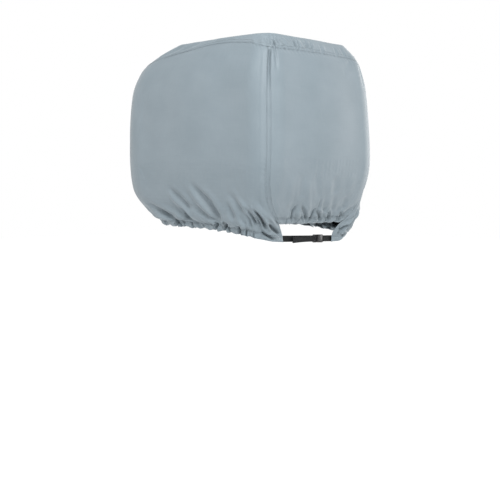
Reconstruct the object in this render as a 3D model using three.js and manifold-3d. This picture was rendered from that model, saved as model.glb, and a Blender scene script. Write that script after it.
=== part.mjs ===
// Fitted cloth cover with an elastic hem, in millimetres.
// +Z is up, -Y is aft, where the hem is notched and strapped, and -X is port.
// The origin is on the underside of the top, where whatever wears the cover holds it up.
import * as THREE from 'three';
import { mergeVertices } from 'three/addons/utils/BufferGeometryUtils.js';
import Module from 'manifold-3d';

const wasm = await Module();
wasm.setup();

// Cloth: thickness, the gap between two sewn edges, and the rise of the top over its rim.
const CLOTH = 2;
const SEAM_GAP = 0.6;
const CROWN = 11;
const CORNER_LIFT = 3;

// Hem: how far its edge hangs below the elastic, how deep the elastic draws it in, how
// far from the notch it starts to, and the part of a gather's rise that is full depth.
const ELASTIC_ABOVE_EDGE = 19;
const ELASTIC_PINCH = 5;
const PINCH_START = 30;
const PINCH_FULL = 70;
const FULL_GATHER = 0.3;
const STARBOARD_EAR_DROP = 7;

// Strap: 20 mm webbing across the notch, doubled back through a ladder bar as a loose tail.
// It falls a little toward the starboard ear, which hangs lower.
const WEBBING = 1.6;
const WEBBING_WIDTH = 20;
const STRAP_DOWN = 642;
const STRAP_FALL = 6.5;
const STRAP_BAR_X = 36;
const TAIL_END_X = -77;
const TAIL_DROP = 4;
const TAIL_SLACK = 0.8;
const HIDDEN_END = 0.85;
const EAR_GAP = 0.7;

// Buckle: moulded side-release halves, with running clearances. A bar that webbing wraps
// is square, twice BAR_HALF on a side.
const BUCKLE_WIDTH = 26;
const BUCKLE_THICKNESS = 9;
const BAR_HALF = 1.5;
const CLEARANCE = 0.4;

const CLOTH_LOOK = { color: 0x98a5ad, roughness: 0.75 };
const WEBBING_LOOK = { color: 0x2c3031, roughness: 0.85 };
const BUCKLE_LOOK = { color: 0x373739, roughness: 0.45 };

// Plan sections of the cover, measured at the middle of the cloth. Down is the depth
// below the origin, half the half-width, aft and fore the reach along Y, then the radii
// of the aft and fore corners and how far the flats between them bow out.
const SECTIONS = [
  { down: 10, half: 206, aft: 263, fore: 170, aftRadius: 55, foreRadius: 70, bow: 3 },
  { down: 25, half: 216, aft: 276, fore: 222, aftRadius: 60, foreRadius: 90, bow: 4 },
  { down: 47, half: 230, aft: 294, fore: 284, aftRadius: 68, foreRadius: 110, bow: 5 },
  { down: 70, half: 241, aft: 306, fore: 328, aftRadius: 70, foreRadius: 120, bow: 6 },
  { down: 90, half: 249, aft: 312, fore: 353, aftRadius: 75, foreRadius: 130, bow: 7 },
  { down: 140, half: 262, aft: 322, fore: 381, aftRadius: 80, foreRadius: 140, bow: 8 },
  { down: 190, half: 269, aft: 328, fore: 396, aftRadius: 85, foreRadius: 150, bow: 8 },
  { down: 270, half: 274, aft: 333, fore: 400, aftRadius: 85, foreRadius: 150, bow: 8 },
  { down: 340, half: 277, aft: 336, fore: 397, aftRadius: 85, foreRadius: 150, bow: 8 },
  { down: 410, half: 278, aft: 335, fore: 393, aftRadius: 85, foreRadius: 150, bow: 7 },
  { down: 460, half: 275, aft: 326, fore: 390, aftRadius: 85, foreRadius: 152, bow: 6 },
  { down: 500, half: 269, aft: 314, fore: 383, aftRadius: 86, foreRadius: 155, bow: 5 },
  { down: 535, half: 263, aft: 300, fore: 360, aftRadius: 87, foreRadius: 165, bow: 4 },
  { down: 570, half: 257, aft: 284, fore: 325, aftRadius: 85, foreRadius: 180, bow: 2 },
  { down: 600, half: 248, aft: 268, fore: 288, aftRadius: 80, foreRadius: 190, bow: 0 },
  { down: 628, half: 234, aft: 259, fore: 273, aftRadius: 76, foreRadius: 195, bow: 0 },
  { down: 665, half: 230, aft: 259, fore: 270, aftRadius: 76, foreRadius: 195, bow: 0 },
];

// The upright seam between a side panel and the aft panel, in stations round the plan:
// 1 to 2 is the aft corner. It runs down mid-corner, then bends in to the notch.
const CORNER_SEAM = [
  { down: 430, station: 1.5 },
  { down: 480, station: 1.46 },
  { down: 520, station: 1.38 },
  { down: 545, station: 1.28 },
  { down: 578, station: 1.06 },
  { down: 594, station: 0.9 },
  { down: 612, station: 0.83 },
  { down: 632, station: 0.78 },
  { down: 655, station: 0.765 },
];

// Levels of a side panel, by share of its width from the corner seam to the fore seam:
// the seam with the top, the line where the gathers start, and the hem's edge.
const SIDE_LEVELS = [
  { share: 0, top: 63, gathers: 594, edge: 652 },
  { share: 0.07, top: 52, gathers: 591, edge: 648 },
  { share: 0.143, top: 41, gathers: 584, edge: 640 },
  { share: 0.214, top: 31, gathers: 577, edge: 632 },
  { share: 0.286, top: 30, gathers: 571, edge: 624 },
  { share: 0.357, top: 40, gathers: 564, edge: 616 },
  { share: 0.429, top: 53, gathers: 560, edge: 612 },
  { share: 0.571, top: 76, gathers: 555, edge: 608 },
  { share: 0.714, top: 91, gathers: 552, edge: 605 },
  { share: 1, top: 96, gathers: 549, edge: 603 },
];

// Levels of the aft panel, by share from its middle to either corner seam.
const AFT_LEVELS = [
  { share: 0, top: 57, edge: 597 },
  { share: 0.5, top: 57, edge: 596 },
  { share: 1, top: 63, edge: 594 },
];

// Gathers of a side hem, from the notch forward: share of the panel's width, how deep
// the trough is drawn in, and how far it rises above the hem's edge.
const SIDE_GATHERS = [
  { share: 0.06, depth: 13, rise: 105 },
  { share: 0.103, depth: 12, rise: 130 },
  { share: 0.14, depth: 8, rise: 70 },
  { share: 0.17, depth: 9, rise: 130 },
  { share: 0.2, depth: 7, rise: 55 },
  { share: 0.235, depth: 8, rise: 60 },
  { share: 0.27, depth: 9, rise: 80 },
  { share: 0.298, depth: 12, rise: 170 },
  { share: 0.328, depth: 9, rise: 75 },
  { share: 0.355, depth: 8, rise: 60 },
  { share: 0.395, depth: 9, rise: 150 },
  { share: 0.444, depth: 9, rise: 70 },
  { share: 0.48, depth: 11, rise: 90 },
  { share: 0.519, depth: 10, rise: 75 },
  { share: 0.565, depth: 8, rise: 110 },
  { share: 0.62, depth: 9, rise: 70 },
  { share: 0.68, depth: 10, rise: 120 },
  { share: 0.75, depth: 8, rise: 65 },
  { share: 0.83, depth: 9, rise: 100 },
  { share: 0.92, depth: 9, rise: 80 },
];

// Gathers of the aft hem, from starboard to port, as shares of the half-width.
const AFT_GATHERS = [
  { share: -0.88, depth: 8, rise: 60 },
  { share: -0.7, depth: 9, rise: 90 },
  { share: -0.52, depth: 7, rise: 50 },
  { share: -0.28, depth: 10, rise: 110 },
  { share: 0, depth: 9, rise: 70 },
  { share: 0.22, depth: 7, rise: 60 },
  { share: 0.4, depth: 10, rise: 100 },
  { share: 0.62, depth: 8, rise: 55 },
  { share: 0.85, depth: 5, rise: 45 },
];

// Broad soft folds of the side panels, as lines from head to foot: shares of the width,
// depths below the origin, half-width and height in millimetres. A trough is negative.
const SIDE_FOLDS = [
  { headShare: 0.305, headDown: 430, footShare: 0.28, footDown: 605, width: 16, height: -9 },
  { headShare: 0.265, headDown: 425, footShare: 0.245, footDown: 600, width: 18, height: 5 },
  { headShare: 0.345, headDown: 425, footShare: 0.325, footDown: 595, width: 18, height: 5 },
  { headShare: 0.37, headDown: 455, footShare: 0.372, footDown: 590, width: 14, height: -6 },
  { headShare: 0.19, headDown: 465, footShare: 0.155, footDown: 605, width: 14, height: -5 },
  { headShare: 0.14, headDown: 490, footShare: 0.085, footDown: 625, width: 13, height: 6 },
  { headShare: 0.55, headDown: 440, footShare: 0.5, footDown: 590, width: 26, height: -5 },
  { headShare: 0.72, headDown: 430, footShare: 0.7, footDown: 585, width: 28, height: 5 },
  { headShare: 0.86, headDown: 450, footShare: 0.88, footDown: 590, width: 24, height: -6 },
];

// The starboard panel hangs fuller round its lower aft corner than the port one.
const STARBOARD_FOLDS = [
  ...SIDE_FOLDS,
  { headShare: 0.13, headDown: 510, footShare: 0.12, footDown: 700, width: 70, height: 18 },
];

// Broad soft folds of the aft panel, with port shares positive.
const AFT_FOLDS = [
  { headShare: 0.42, headDown: 430, footShare: 0.36, footDown: 580, width: 16, height: -6 },
  { headShare: 0.16, headDown: 400, footShare: 0.14, footDown: 570, width: 22, height: 4 },
  { headShare: -0.02, headDown: 420, footShare: -0.02, footDown: 585, width: 15, height: -6 },
  { headShare: -0.34, headDown: 430, footShare: -0.36, footDown: 585, width: 15, height: -5 },
  { headShare: -0.66, headDown: 440, footShare: -0.66, footDown: 585, width: 16, height: -5 },
];

// Widths of the panels as cut, and how near a seam the folds start to die out.
const SIDE_CUT_WIDTH = 930;
const AFT_CUT_HALF = 259;
const SEAM_QUIET = 25;
const EAR_WIDTH = 0.2;

// The plan has five stations a side, and the corner seam starts midway round one corner.
const STATIONS = 5;
const CORNER_STATION = 1.5;
const UP = new THREE.Vector3(0, 0, 1);

// A smooth curve through a table's rows, level past its ends.
function read(table, key, column, at) {
  const last = table.length - 1;
  if (at <= table[0][key]) return table[0][column];
  if (at >= table[last][key]) return table[last][column];
  const i = table.findIndex((row, n) => at < table[n + 1][key]);
  const slope = (n) => {
    const before = table[Math.max(n - 1, 0)];
    const after = table[Math.min(n + 1, last)];
    return (after[column] - before[column]) / (after[key] - before[key]);
  };
  const span = table[i + 1][key] - table[i][key];
  const t = (at - table[i][key]) / span;
  const bend = t * t * (3 - 2 * t);
  const rise = span * t * (1 - t) * ((1 - t) * slope(i) - t * slope(i + 1));
  return THREE.MathUtils.lerp(table[i][column], table[i + 1][column], bend) + rise;
}

// One at zero, falling smoothly to nothing at one on either side.
function bell(t) {
  return Math.abs(t) >= 1 ? 0 : Math.cos(t * Math.PI / 2) ** 2;
}

// The plan outline at a depth: stations 0 to 1 run along the aft flat from the middle,
// 1 to 2 round the aft corner, 2 to 3 along the side, 3 to 4 round the fore corner and
// 4 to 5 to the fore middle. Port stations are positive.
function outline(station, down) {
  const at = (column) => read(SECTIONS, 'down', column, down);
  const half = at('half');
  const aftRadius = at('aftRadius');
  const foreRadius = at('foreRadius');
  const aftFlat = half - aftRadius;
  const foreFlat = half - foreRadius;
  const sideStart = aftRadius - at('aft');
  const sideEnd = at('fore') - foreRadius;
  const q = Math.abs(station);
  const t = q - Math.floor(Math.min(q, STATIONS - 1e-9));
  const turn = t * Math.PI / 2;
  let x;
  let y;
  if (q < 1) {
    x = t * aftFlat;
    y = -at('aft') - at('bow') * bell(t);
  } else if (q < 2) {
    x = aftFlat + aftRadius * Math.sin(turn);
    y = sideStart - aftRadius * Math.cos(turn);
  } else if (q < 3) {
    x = half + at('bow') * bell(2 * t - 1);
    y = THREE.MathUtils.lerp(sideStart, sideEnd, t);
  } else if (q < 4) {
    x = foreFlat + foreRadius * Math.cos(turn);
    y = sideEnd + foreRadius * Math.sin(turn);
  } else {
    x = (1 - t) * foreFlat;
    y = at('fore') + at('bow') * bell(1 - t);
  }
  return new THREE.Vector3(station < 0 ? x : -x, y, -down);
}

// Where a share of a panel's width lies round the plan at a depth. Both kinds of panel
// follow the corner seam at that depth.
function sideStation(share, down) {
  const shift = read(CORNER_SEAM, 'down', 'station', down) - CORNER_STATION;
  return THREE.MathUtils.lerp(CORNER_STATION, STATIONS, share) + shift * (1 - share) ** 2;
}

function aftStation(share, down) {
  return share * read(CORNER_SEAM, 'down', 'station', down);
}

// How far the gathers stand off the plan outline: each is a trough between two crests
// midway to its neighbours, and it fades upward.
function gatherDepth(gathers, from, to, share, aboveEdge) {
  const after = gathers.findIndex((row) => row.share > share);
  const right = after < 0 ? gathers.length : after;
  const before = gathers[right - 1] ?? { share: from, wall: true };
  const next = gathers[right] ?? { share: to, wall: true };
  const crest = (before.share + next.share) / 2;
  const nearest = share < crest ? before : next;
  if (nearest.wall) return 0;
  const reach = Math.abs(crest - nearest.share);
  const full = FULL_GATHER * nearest.rise;
  const fade = 1 - THREE.MathUtils.smoothstep(aboveEdge, full, nearest.rise);
  return -nearest.depth * fade * bell((share - nearest.share) / reach);
}

function foldHeight(folds, cutWidth, share, down) {
  return folds.reduce((sum, fold) => {
    const t = (down - fold.headDown) / (fold.footDown - fold.headDown);
    const centre = THREE.MathUtils.lerp(fold.headShare, fold.footShare, t);
    const across = (share - centre) * cutWidth / fold.width;
    return sum + fold.height * bell(across / 2) * bell(2 * t - 1);
  }, 0);
}

// The elastic draws the hem in, though not over the strap's end at the notch.
function elasticPinch(aboveEdge, fromNotch) {
  const across = (aboveEdge - ELASTIC_ABOVE_EDGE) / ELASTIC_ABOVE_EDGE;
  const along = THREE.MathUtils.smoothstep(fromNotch, PINCH_START, PINCH_FULL);
  return -ELASTIC_PINCH * bell(across) * along;
}

// Folds die out beside a seam, so that the panels on both sides of it meet.
function quiet(distance) {
  return THREE.MathUtils.smoothstep(distance, 0, SEAM_QUIET);
}

// The starboard gathers are as uneven as the port ones, but not their mirror image.
function starboardGathers() {
  const turn = (5 ** 0.5 - 1) / 2;
  return SIDE_GATHERS.map((row, n) => ({
    share: row.share,
    depth: row.depth * (0.8 + 0.4 * ((n * turn) % 1)),
    rise: row.rise * (0.8 + 0.4 * ((n * turn * turn) % 1)),
  }));
}

// The panels: each gives the station and the fold height at a share and a depth.
function sidePanel(side) {
  const gathers = side > 0 ? SIDE_GATHERS : starboardGathers();
  const folds = side > 0 ? SIDE_FOLDS : STARBOARD_FOLDS;
  const level = (share, name) => {
    const drops = side < 0 && name === 'edge';
    const earDrop = drops ? STARBOARD_EAR_DROP * bell(share / EAR_WIDTH) : 0;
    return read(SIDE_LEVELS, 'share', name, share) + earDrop;
  };
  return {
    station: (share, down) => side * sideStation(share, down),
    level,
    height: (share, down) => {
      const edge = level(share, 'edge');
      const fromNotch = share * SIDE_CUT_WIDTH;
      const ends = quiet(fromNotch) * quiet((1 - share) * SIDE_CUT_WIDTH);
      const drawn = gatherDepth(gathers, 0, 1, share, edge - down)
        + elasticPinch(edge - down, fromNotch);
      return ends * (drawn + foldHeight(folds, SIDE_CUT_WIDTH, share, down));
    },
  };
}

const aftPanel = {
  station: aftStation,
  level: (share, name) => read(AFT_LEVELS, 'share', name, Math.abs(share)),
  height: (share, down) => {
    const edge = read(AFT_LEVELS, 'share', 'edge', Math.abs(share));
    const fromSeam = (1 - Math.abs(share)) * AFT_CUT_HALF;
    const drawn = gatherDepth(AFT_GATHERS, -1, 1, share, edge - down)
      + elasticPinch(edge - down, fromSeam);
    return quiet(fromSeam) * (drawn + foldHeight(AFT_FOLDS, AFT_CUT_HALF, share, down));
  },
};

// A point of a panel with the outward normal there, slid along the panel by a seam's gap.
function clothVertex(panel, share, down, slide = 0) {
  const plain = (s, d) => outline(panel.station(s, d), d);
  const shareStep = 0.002;
  const downStep = 1;
  const wide = plain(share + shareStep, down).sub(plain(share - shareStep, down));
  const tall = plain(share, down - downStep).sub(plain(share, down + downStep));
  const normal = new THREE.Vector3().crossVectors(tall, wide).normalize();
  const point = plain(share, down);
  const inside = new THREE.Vector3(0, outline(STATIONS / 2, down).y, -down);
  if (normal.dot(point) < normal.dot(inside)) normal.negate();
  point.addScaledVector(normal, panel.height(share, down));
  point.addScaledVector(wide.normalize(), slide);
  return { point, normal };
}

// Closes a grid of middle points into a sheet: an outer skin, an inner skin and the rim
// between them. With a pole the grid is rings round it instead, first ring outermost.
function closedSheet(grid, thickness, pole = null) {
  const columns = grid[0].length;
  const positions = [];
  const add = ({ point, normal }) => {
    const outer = point.clone().addScaledVector(normal, thickness / 2);
    const inner = point.clone().addScaledVector(normal, -thickness / 2);
    positions.push(...outer.toArray(), ...inner.toArray());
  };
  grid.flat().forEach(add);
  if (pole) add(pole);
  const triangles = [];
  const skin = (a, b, c) => {
    triangles.push([2 * a, 2 * b, 2 * c], [2 * a + 1, 2 * c + 1, 2 * b + 1]);
  };
  const rim = (a, b) => {
    triangles.push([2 * b, 2 * a, 2 * a + 1], [2 * b, 2 * a + 1, 2 * b + 1]);
  };
  const at = (row, column) => row * columns + (column % columns);
  const spans = pole ? columns : columns - 1;
  for (let row = 0; row + 1 < grid.length; row += 1) {
    for (let column = 0; column < spans; column += 1) {
      const next = column + 1;
      skin(at(row, column), at(row + 1, column), at(row + 1, next));
      skin(at(row, column), at(row + 1, next), at(row, next));
    }
  }
  const lastRow = grid.length - 1;
  for (let column = 0; column < spans; column += 1) {
    rim(at(0, column + 1), at(0, column));
    if (pole) skin(at(lastRow, column), grid.length * columns, at(lastRow, column + 1));
    else rim(at(lastRow, column), at(lastRow, column + 1));
  }
  for (let row = 0; row < lastRow && !pole; row += 1) {
    rim(at(row, 0), at(row + 1, 0));
    rim(at(row + 1, columns - 1), at(row, columns - 1));
  }
  const inward = signedVolume(positions, triangles) < 0;
  const facing = inward ? triangles.map(([a, b, c]) => [c, b, a]) : triangles;
  const geometry = new THREE.BufferGeometry();
  geometry.setAttribute('position', new THREE.Float32BufferAttribute(positions, 3));
  geometry.setIndex(facing.flat());
  geometry.computeVertexNormals();
  return geometry;
}

function signedVolume(positions, triangles) {
  const corner = (n) => new THREE.Vector3().fromArray(positions, 3 * n);
  return triangles.reduce((sum, [a, b, c]) => {
    return sum + corner(a).dot(corner(b).cross(corner(c))) / 6;
  }, 0);
}

// Columns fall on every trough and crest of a panel's gathers.
function columnShares(gathers, from, to) {
  const troughs = gathers.map((row) => row.share);
  const stops = [from, ...troughs, to];
  const crests = stops.slice(1).map((share, n) => (share + stops[n]) / 2);
  return [from, ...crests.flatMap((crest, n) => [crest, stops[n + 1]])];
}

// Rows, as shares of the drop from the top seam to the gathers, and from there to the
// edge. The aft panel ends where a side panel's gathers start at the notch.
const UPPER_ROWS = [0, 0.05, 0.13, 0.26, 0.42, 0.58, 0.72, 0.84, 0.92, 0.967, 1];
const LOWER_ROWS = [0.3, 0.5, 0.67, 0.84, 1];

function bodyPanel(panel, shares, hasGathers) {
  const inset = SEAM_GAP / 2;
  const rows = hasGathers ? UPPER_ROWS.length + LOWER_ROWS.length : UPPER_ROWS.length;
  const depthAt = (share, row) => {
    const top = panel.level(share, 'top') + inset;
    const edge = panel.level(share, 'edge');
    if (!hasGathers) return THREE.MathUtils.lerp(top, edge, UPPER_ROWS[row]);
    const middle = panel.level(share, 'gathers');
    if (row < UPPER_ROWS.length) return THREE.MathUtils.lerp(top, middle, UPPER_ROWS[row]);
    return THREE.MathUtils.lerp(middle, edge, LOWER_ROWS[row - UPPER_ROWS.length]);
  };
  const grid = [];
  for (let row = 0; row < rows; row += 1) {
    grid.push(shares.map((share, column) => {
      const atStart = column === 0 ? inset : 0;
      const atEnd = column === shares.length - 1 ? inset : 0;
      return clothVertex(panel, share, depthAt(share, row), atStart - atEnd);
    }));
  }
  return closedSheet(grid, CLOTH);
}

const SIDE_SHARES = columnShares(SIDE_GATHERS, 0, 1);
const AFT_SHARES = columnShares(AFT_GATHERS, -1, 1);

// The top: rings up the shoulder from the seam to the rim, then in over the crown.
const SHOULDER_RINGS = [0, 0.4, 0.75, 1];
const CROWN_RINGS = [0.86, 0.6, 0.3];
const RIM_DOWN = SECTIONS[0].down;
const TIP_REACH = 0.5;

// The rim stands a little higher over the aft corners, and less so toward the middle.
function cornerTip(station) {
  return CORNER_LIFT * bell((Math.abs(station) - CORNER_STATION) / TIP_REACH);
}

function crownVertex(rimPoint, station, scale) {
  const point = rimPoint.clone().multiplyScalar(scale);
  point.z = -RIM_DOWN + CROWN * (1 - scale ** 2) + cornerTip(station) * scale ** 6;
  return { point, normal: UP };
}

function topPanel() {
  const port = sidePanel(1);
  const starboard = sidePanel(-1);
  const columns = [
    ...SIDE_SHARES.slice(1).reverse().map((share) => ({ panel: starboard, share })),
    ...AFT_SHARES.map((share) => ({ panel: aftPanel, share })),
    ...SIDE_SHARES.slice(1, -1).map((share) => ({ panel: port, share })),
  ];
  const shoulder = SHOULDER_RINGS.map((rise) => columns.map(({ panel, share }) => {
    const seam = panel.level(share, 'top') - SEAM_GAP / 2;
    const down = THREE.MathUtils.lerp(seam, RIM_DOWN, rise);
    const vertex = clothVertex(panel, share, down);
    vertex.point.z += cornerTip(panel.station(share, down)) * rise ** 2;
    if (rise === 1) vertex.normal.add(UP).normalize();
    return vertex;
  }));
  const rimPoints = columns.map(({ panel, share }) => clothVertex(panel, share, RIM_DOWN).point);
  const crown = CROWN_RINGS.map((scale) => columns.map(({ panel, share }, n) => {
    return crownVertex(rimPoints[n], panel.station(share, RIM_DOWN), scale);
  }));
  const middle = new THREE.Vector3(0, 0, CROWN - RIM_DOWN);
  return closedSheet([...shoulder, ...crown], CLOTH, { point: middle, normal: UP });
}

// A webbing ribbon on edge along a path in plan, each point with its own drop.
function ribbon(path) {
  const grid = [1, -1].map((side) => path.map(({ x, y, drop = 0 }, n) => {
    const before = path[Math.max(n - 1, 0)];
    const after = path[Math.min(n + 1, path.length - 1)];
    const along = new THREE.Vector3(after.x - before.x, after.y - before.y, 0);
    const normal = new THREE.Vector3(-along.y, along.x, 0).normalize();
    const z = side * WEBBING_WIDTH / 2 - STRAP_DOWN - drop;
    return { point: new THREE.Vector3(x, y, z), normal };
  }));
  return closedSheet(grid, WEBBING);
}

// The hidden end of a strap, sewn to the inside of an ear along the ear's first facet.
function earPath(side, layer) {
  const offset = (CLOTH + WEBBING) / 2 + EAR_GAP + layer * (WEBBING + CLEARANCE);
  const down = side < 0 ? STRAP_DOWN + STRAP_FALL : STRAP_DOWN;
  const [mouth, deep] = SIDE_SHARES.slice(0, 2).map((share) => {
    const { point, normal } = clothVertex(sidePanel(side), share, down);
    return point.addScaledVector(normal, -offset);
  });
  return [mouth.clone().lerp(deep, HIDDEN_END), mouth];
}

// Half a turn round a bar, from its inner side to its outer side.
function wrap(centreX, centreY, radius, facing) {
  const steps = 6;
  return Array.from({ length: steps + 1 }, (_, n) => {
    const turn = Math.PI * (0.5 - n / steps);
    const x = centreX + facing * radius * Math.cos(turn);
    return { x, y: centreY + radius * Math.sin(turn) };
  });
}

// The prong half: a ladder frame with a wrap bar and an end bar, a neck and two prongs,
// all measured along the strap from the middle of the wrap bar.
const PRONGS = {
  left: -11,
  right: 6,
  endBar: 2,
  crossBar: 1.2,
  corner: 3,
  neckEnd: 15,
  neckWidth: 20,
  tip: 29,
  prongWidth: 5,
  prongRadius: 2,
};

// The socket half, measured from the same bar: its body, its windows and its own bar.
const SOCKET = { left: 8, bodyEnd: 34, right: 38.5, corner: 5, windowStart: 14, windowEnd: 23 };
const CUT_CORNER = 0.4;
const OVERLAP = 1;

const WRAP_RADIUS = Math.hypot(BAR_HALF, BAR_HALF) + CLEARANCE + WEBBING / 2;
const PORT_MOUTH = earPath(1, 0).at(-1);
const STARBOARD_MOUTH = earPath(-1, 0).at(-1);
const STRAP_TILT = Math.atan2(STRAP_FALL, STARBOARD_MOUTH.x - PORT_MOUTH.x);
const BUCKLE_Y = PORT_MOUTH.y - WRAP_RADIUS;
const SOCKET_BAR_X = STRAP_BAR_X + SOCKET.right - BAR_HALF;

function strapPath() {
  const tail = [0.25, 0.5, 0.75, 1].map((t) => ({
    x: THREE.MathUtils.lerp(STRAP_BAR_X, TAIL_END_X, t),
    y: BUCKLE_Y - WRAP_RADIUS + TAIL_SLACK * bell(2 * t - 1),
    drop: TAIL_DROP * t ** 2,
  }));
  return [...earPath(1, 0), ...wrap(STRAP_BAR_X, BUCKLE_Y, WRAP_RADIUS, 1), ...tail];
}

function anchorPath() {
  const inner = earPath(-1, 1);
  const outer = earPath(-1, 0);
  return [...inner, ...wrap(SOCKET_BAR_X, BUCKLE_Y, WRAP_RADIUS, -1), ...outer.reverse()];
}

// A strap piece, made level, then turned about the port ear's edge to the strap's slope.
function sloped(geometry) {
  return geometry
    .translate(-PORT_MOUTH.x, 0, STRAP_DOWN)
    .rotateY(STRAP_TILT)
    .translate(PORT_MOUTH.x, 0, -STRAP_DOWN);
}

// Moulded pieces: outlines in the plane of the strap, thickened along Y.
function moulded(outlineShape, thickness) {
  const geometry = new THREE.ExtrudeGeometry(outlineShape, {
    depth: thickness, bevelEnabled: false, curveSegments: 3,
  });
  geometry.translate(0, 0, -thickness / 2);
  geometry.rotateX(Math.PI / 2);
  geometry.translate(STRAP_BAR_X, BUCKLE_Y, -STRAP_DOWN);
  return geometry;
}

function roundedRectangle(left, right, height, radius) {
  const shape = new THREE.Shape();
  const h = height / 2;
  shape.moveTo(left + radius, -h);
  shape.lineTo(right - radius, -h);
  shape.absarc(right - radius, -h + radius, radius, -Math.PI / 2, 0);
  shape.lineTo(right, h - radius);
  shape.absarc(right - radius, h - radius, radius, 0, Math.PI / 2);
  shape.lineTo(left + radius, h);
  shape.absarc(left + radius, h - radius, radius, Math.PI / 2, Math.PI);
  shape.lineTo(left, -h + radius);
  shape.absarc(left + radius, -h + radius, radius, Math.PI, 1.5 * Math.PI);
  return shape;
}

function solid(geometry) {
  geometry.deleteAttribute('normal');
  geometry.deleteAttribute('uv');
  const merged = mergeVertices(geometry, 1e-4);
  const vertProperties = new Float32Array(merged.attributes.position.array);
  const triVerts = new Uint32Array(merged.index.array);
  return new wasm.Manifold(new wasm.Mesh({ numProp: 3, vertProperties, triVerts }));
}

function solidGeometry(manifold) {
  const { vertProperties, triVerts } = manifold.getMesh();
  const geometry = new THREE.BufferGeometry();
  geometry.setAttribute('position', new THREE.BufferAttribute(vertProperties, 3));
  geometry.setIndex(new THREE.BufferAttribute(triVerts, 1));
  return geometry;
}

// A moulded block between two places along the strap, as a solid.
function block(left, right, height, radius, thickness) {
  return solid(moulded(roundedRectangle(left, right, height, radius), thickness));
}

function buckleProngs() {
  const bar = 2 * BAR_HALF;
  const slotHeight = WEBBING_WIDTH + 2 * CLEARANCE;
  const slot = (left, right) => block(left, right, slotHeight, CUT_CORNER, 2 * BUCKLE_THICKNESS);
  const { left, right, endBar, crossBar, corner } = PRONGS;
  const { neckEnd, neckWidth, tip, prongWidth, prongRadius } = PRONGS;
  const frame = block(left, right, BUCKLE_WIDTH, corner, bar);
  const neck = block(right - OVERLAP, neckEnd, neckWidth, prongRadius, bar);
  const prongs = [1, -1].map((side) => {
    const prong = roundedRectangle(neckEnd - prongWidth, tip, prongWidth, prongRadius);
    const lift = side * (neckWidth - prongWidth) / 2;
    return solid(moulded(prong, bar).translate(0, 0, lift));
  });
  return solidGeometry(frame
    .add(neck)
    .add(prongs[0])
    .add(prongs[1])
    .subtract(slot(left + endBar, -BAR_HALF))
    .subtract(slot(BAR_HALF, right - crossBar)));
}

// The socket half: a rounded body, a cavity open toward the prongs with windows for
// their shoulders, and a slot that leaves a bar for the anchor webbing.
function buckleSocket() {
  const { left, bodyEnd, right, corner, windowStart, windowEnd } = SOCKET;
  const cavityDepth = 2 * (BAR_HALF + CLEARANCE);
  const cavityHeight = PRONGS.neckWidth + 2 * CLEARANCE;
  const slotHeight = WEBBING_WIDTH + 2 * CLEARANCE;
  const slotRight = right - 2 * BAR_HALF;
  const slotLeft = slotRight - 2 * BAR_HALF;
  const body = block(left, bodyEnd, BUCKLE_WIDTH, corner, BUCKLE_THICKNESS);
  const ring = block(bodyEnd - corner, right, BUCKLE_WIDTH, PRONGS.corner, 2 * BAR_HALF);
  const cavityEnd = PRONGS.tip + CLEARANCE;
  const cavity = block(left - OVERLAP, cavityEnd, cavityHeight, CUT_CORNER, cavityDepth);
  const windows = block(windowStart, windowEnd, 2 * BUCKLE_WIDTH, CUT_CORNER, cavityDepth);
  const slot = block(slotLeft, slotRight, slotHeight, CUT_CORNER, 2 * BUCKLE_THICKNESS);
  return solidGeometry(body.add(ring).subtract(cavity).subtract(windows).subtract(slot));
}

const cover = new THREE.Group();

function place(name, geometry, look) {
  const material = new THREE.MeshStandardMaterial({ ...look, metalness: 0 });
  const mesh = new THREE.Mesh(geometry, material);
  mesh.name = name;
  cover.add(mesh);
}

place('top_panel', topPanel(), CLOTH_LOOK);
place('aft_panel', bodyPanel(aftPanel, AFT_SHARES, false), CLOTH_LOOK);
place('port_panel', bodyPanel(sidePanel(1), SIDE_SHARES, true), CLOTH_LOOK);
place('starboard_panel', bodyPanel(sidePanel(-1), SIDE_SHARES, true), CLOTH_LOOK);
place('strap_webbing', sloped(ribbon(strapPath())), WEBBING_LOOK);
place('anchor_webbing', sloped(ribbon(anchorPath())), WEBBING_LOOK);
place('buckle_prongs', sloped(buckleProngs()), BUCKLE_LOOK);
place('buckle_socket', sloped(buckleSocket()), BUCKLE_LOOK);

export default cover;
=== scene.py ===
# Fitted cloth cover with an elastic hem, buckled across its aft notch.
# Shapes are worked out in millimetres and handed to Blender in metres. +Z is up, -Y is
# aft, where the hem is notched and strapped, and -X is port.
import math
from collections import namedtuple

import bmesh
import bpy
import numpy as np
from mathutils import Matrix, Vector


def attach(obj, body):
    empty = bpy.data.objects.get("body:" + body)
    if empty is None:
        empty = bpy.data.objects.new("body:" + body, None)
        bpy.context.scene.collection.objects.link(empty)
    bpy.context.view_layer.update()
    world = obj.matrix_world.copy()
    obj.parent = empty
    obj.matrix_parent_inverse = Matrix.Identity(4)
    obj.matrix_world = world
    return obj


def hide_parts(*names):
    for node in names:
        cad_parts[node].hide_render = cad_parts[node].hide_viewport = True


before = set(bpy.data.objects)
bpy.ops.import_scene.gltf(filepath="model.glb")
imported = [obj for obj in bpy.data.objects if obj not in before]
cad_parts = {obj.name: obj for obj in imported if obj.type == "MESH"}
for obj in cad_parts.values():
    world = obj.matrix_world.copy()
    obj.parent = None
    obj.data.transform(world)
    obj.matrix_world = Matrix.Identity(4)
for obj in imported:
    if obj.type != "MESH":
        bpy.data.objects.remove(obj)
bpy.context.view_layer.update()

MM = 0.001

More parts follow.
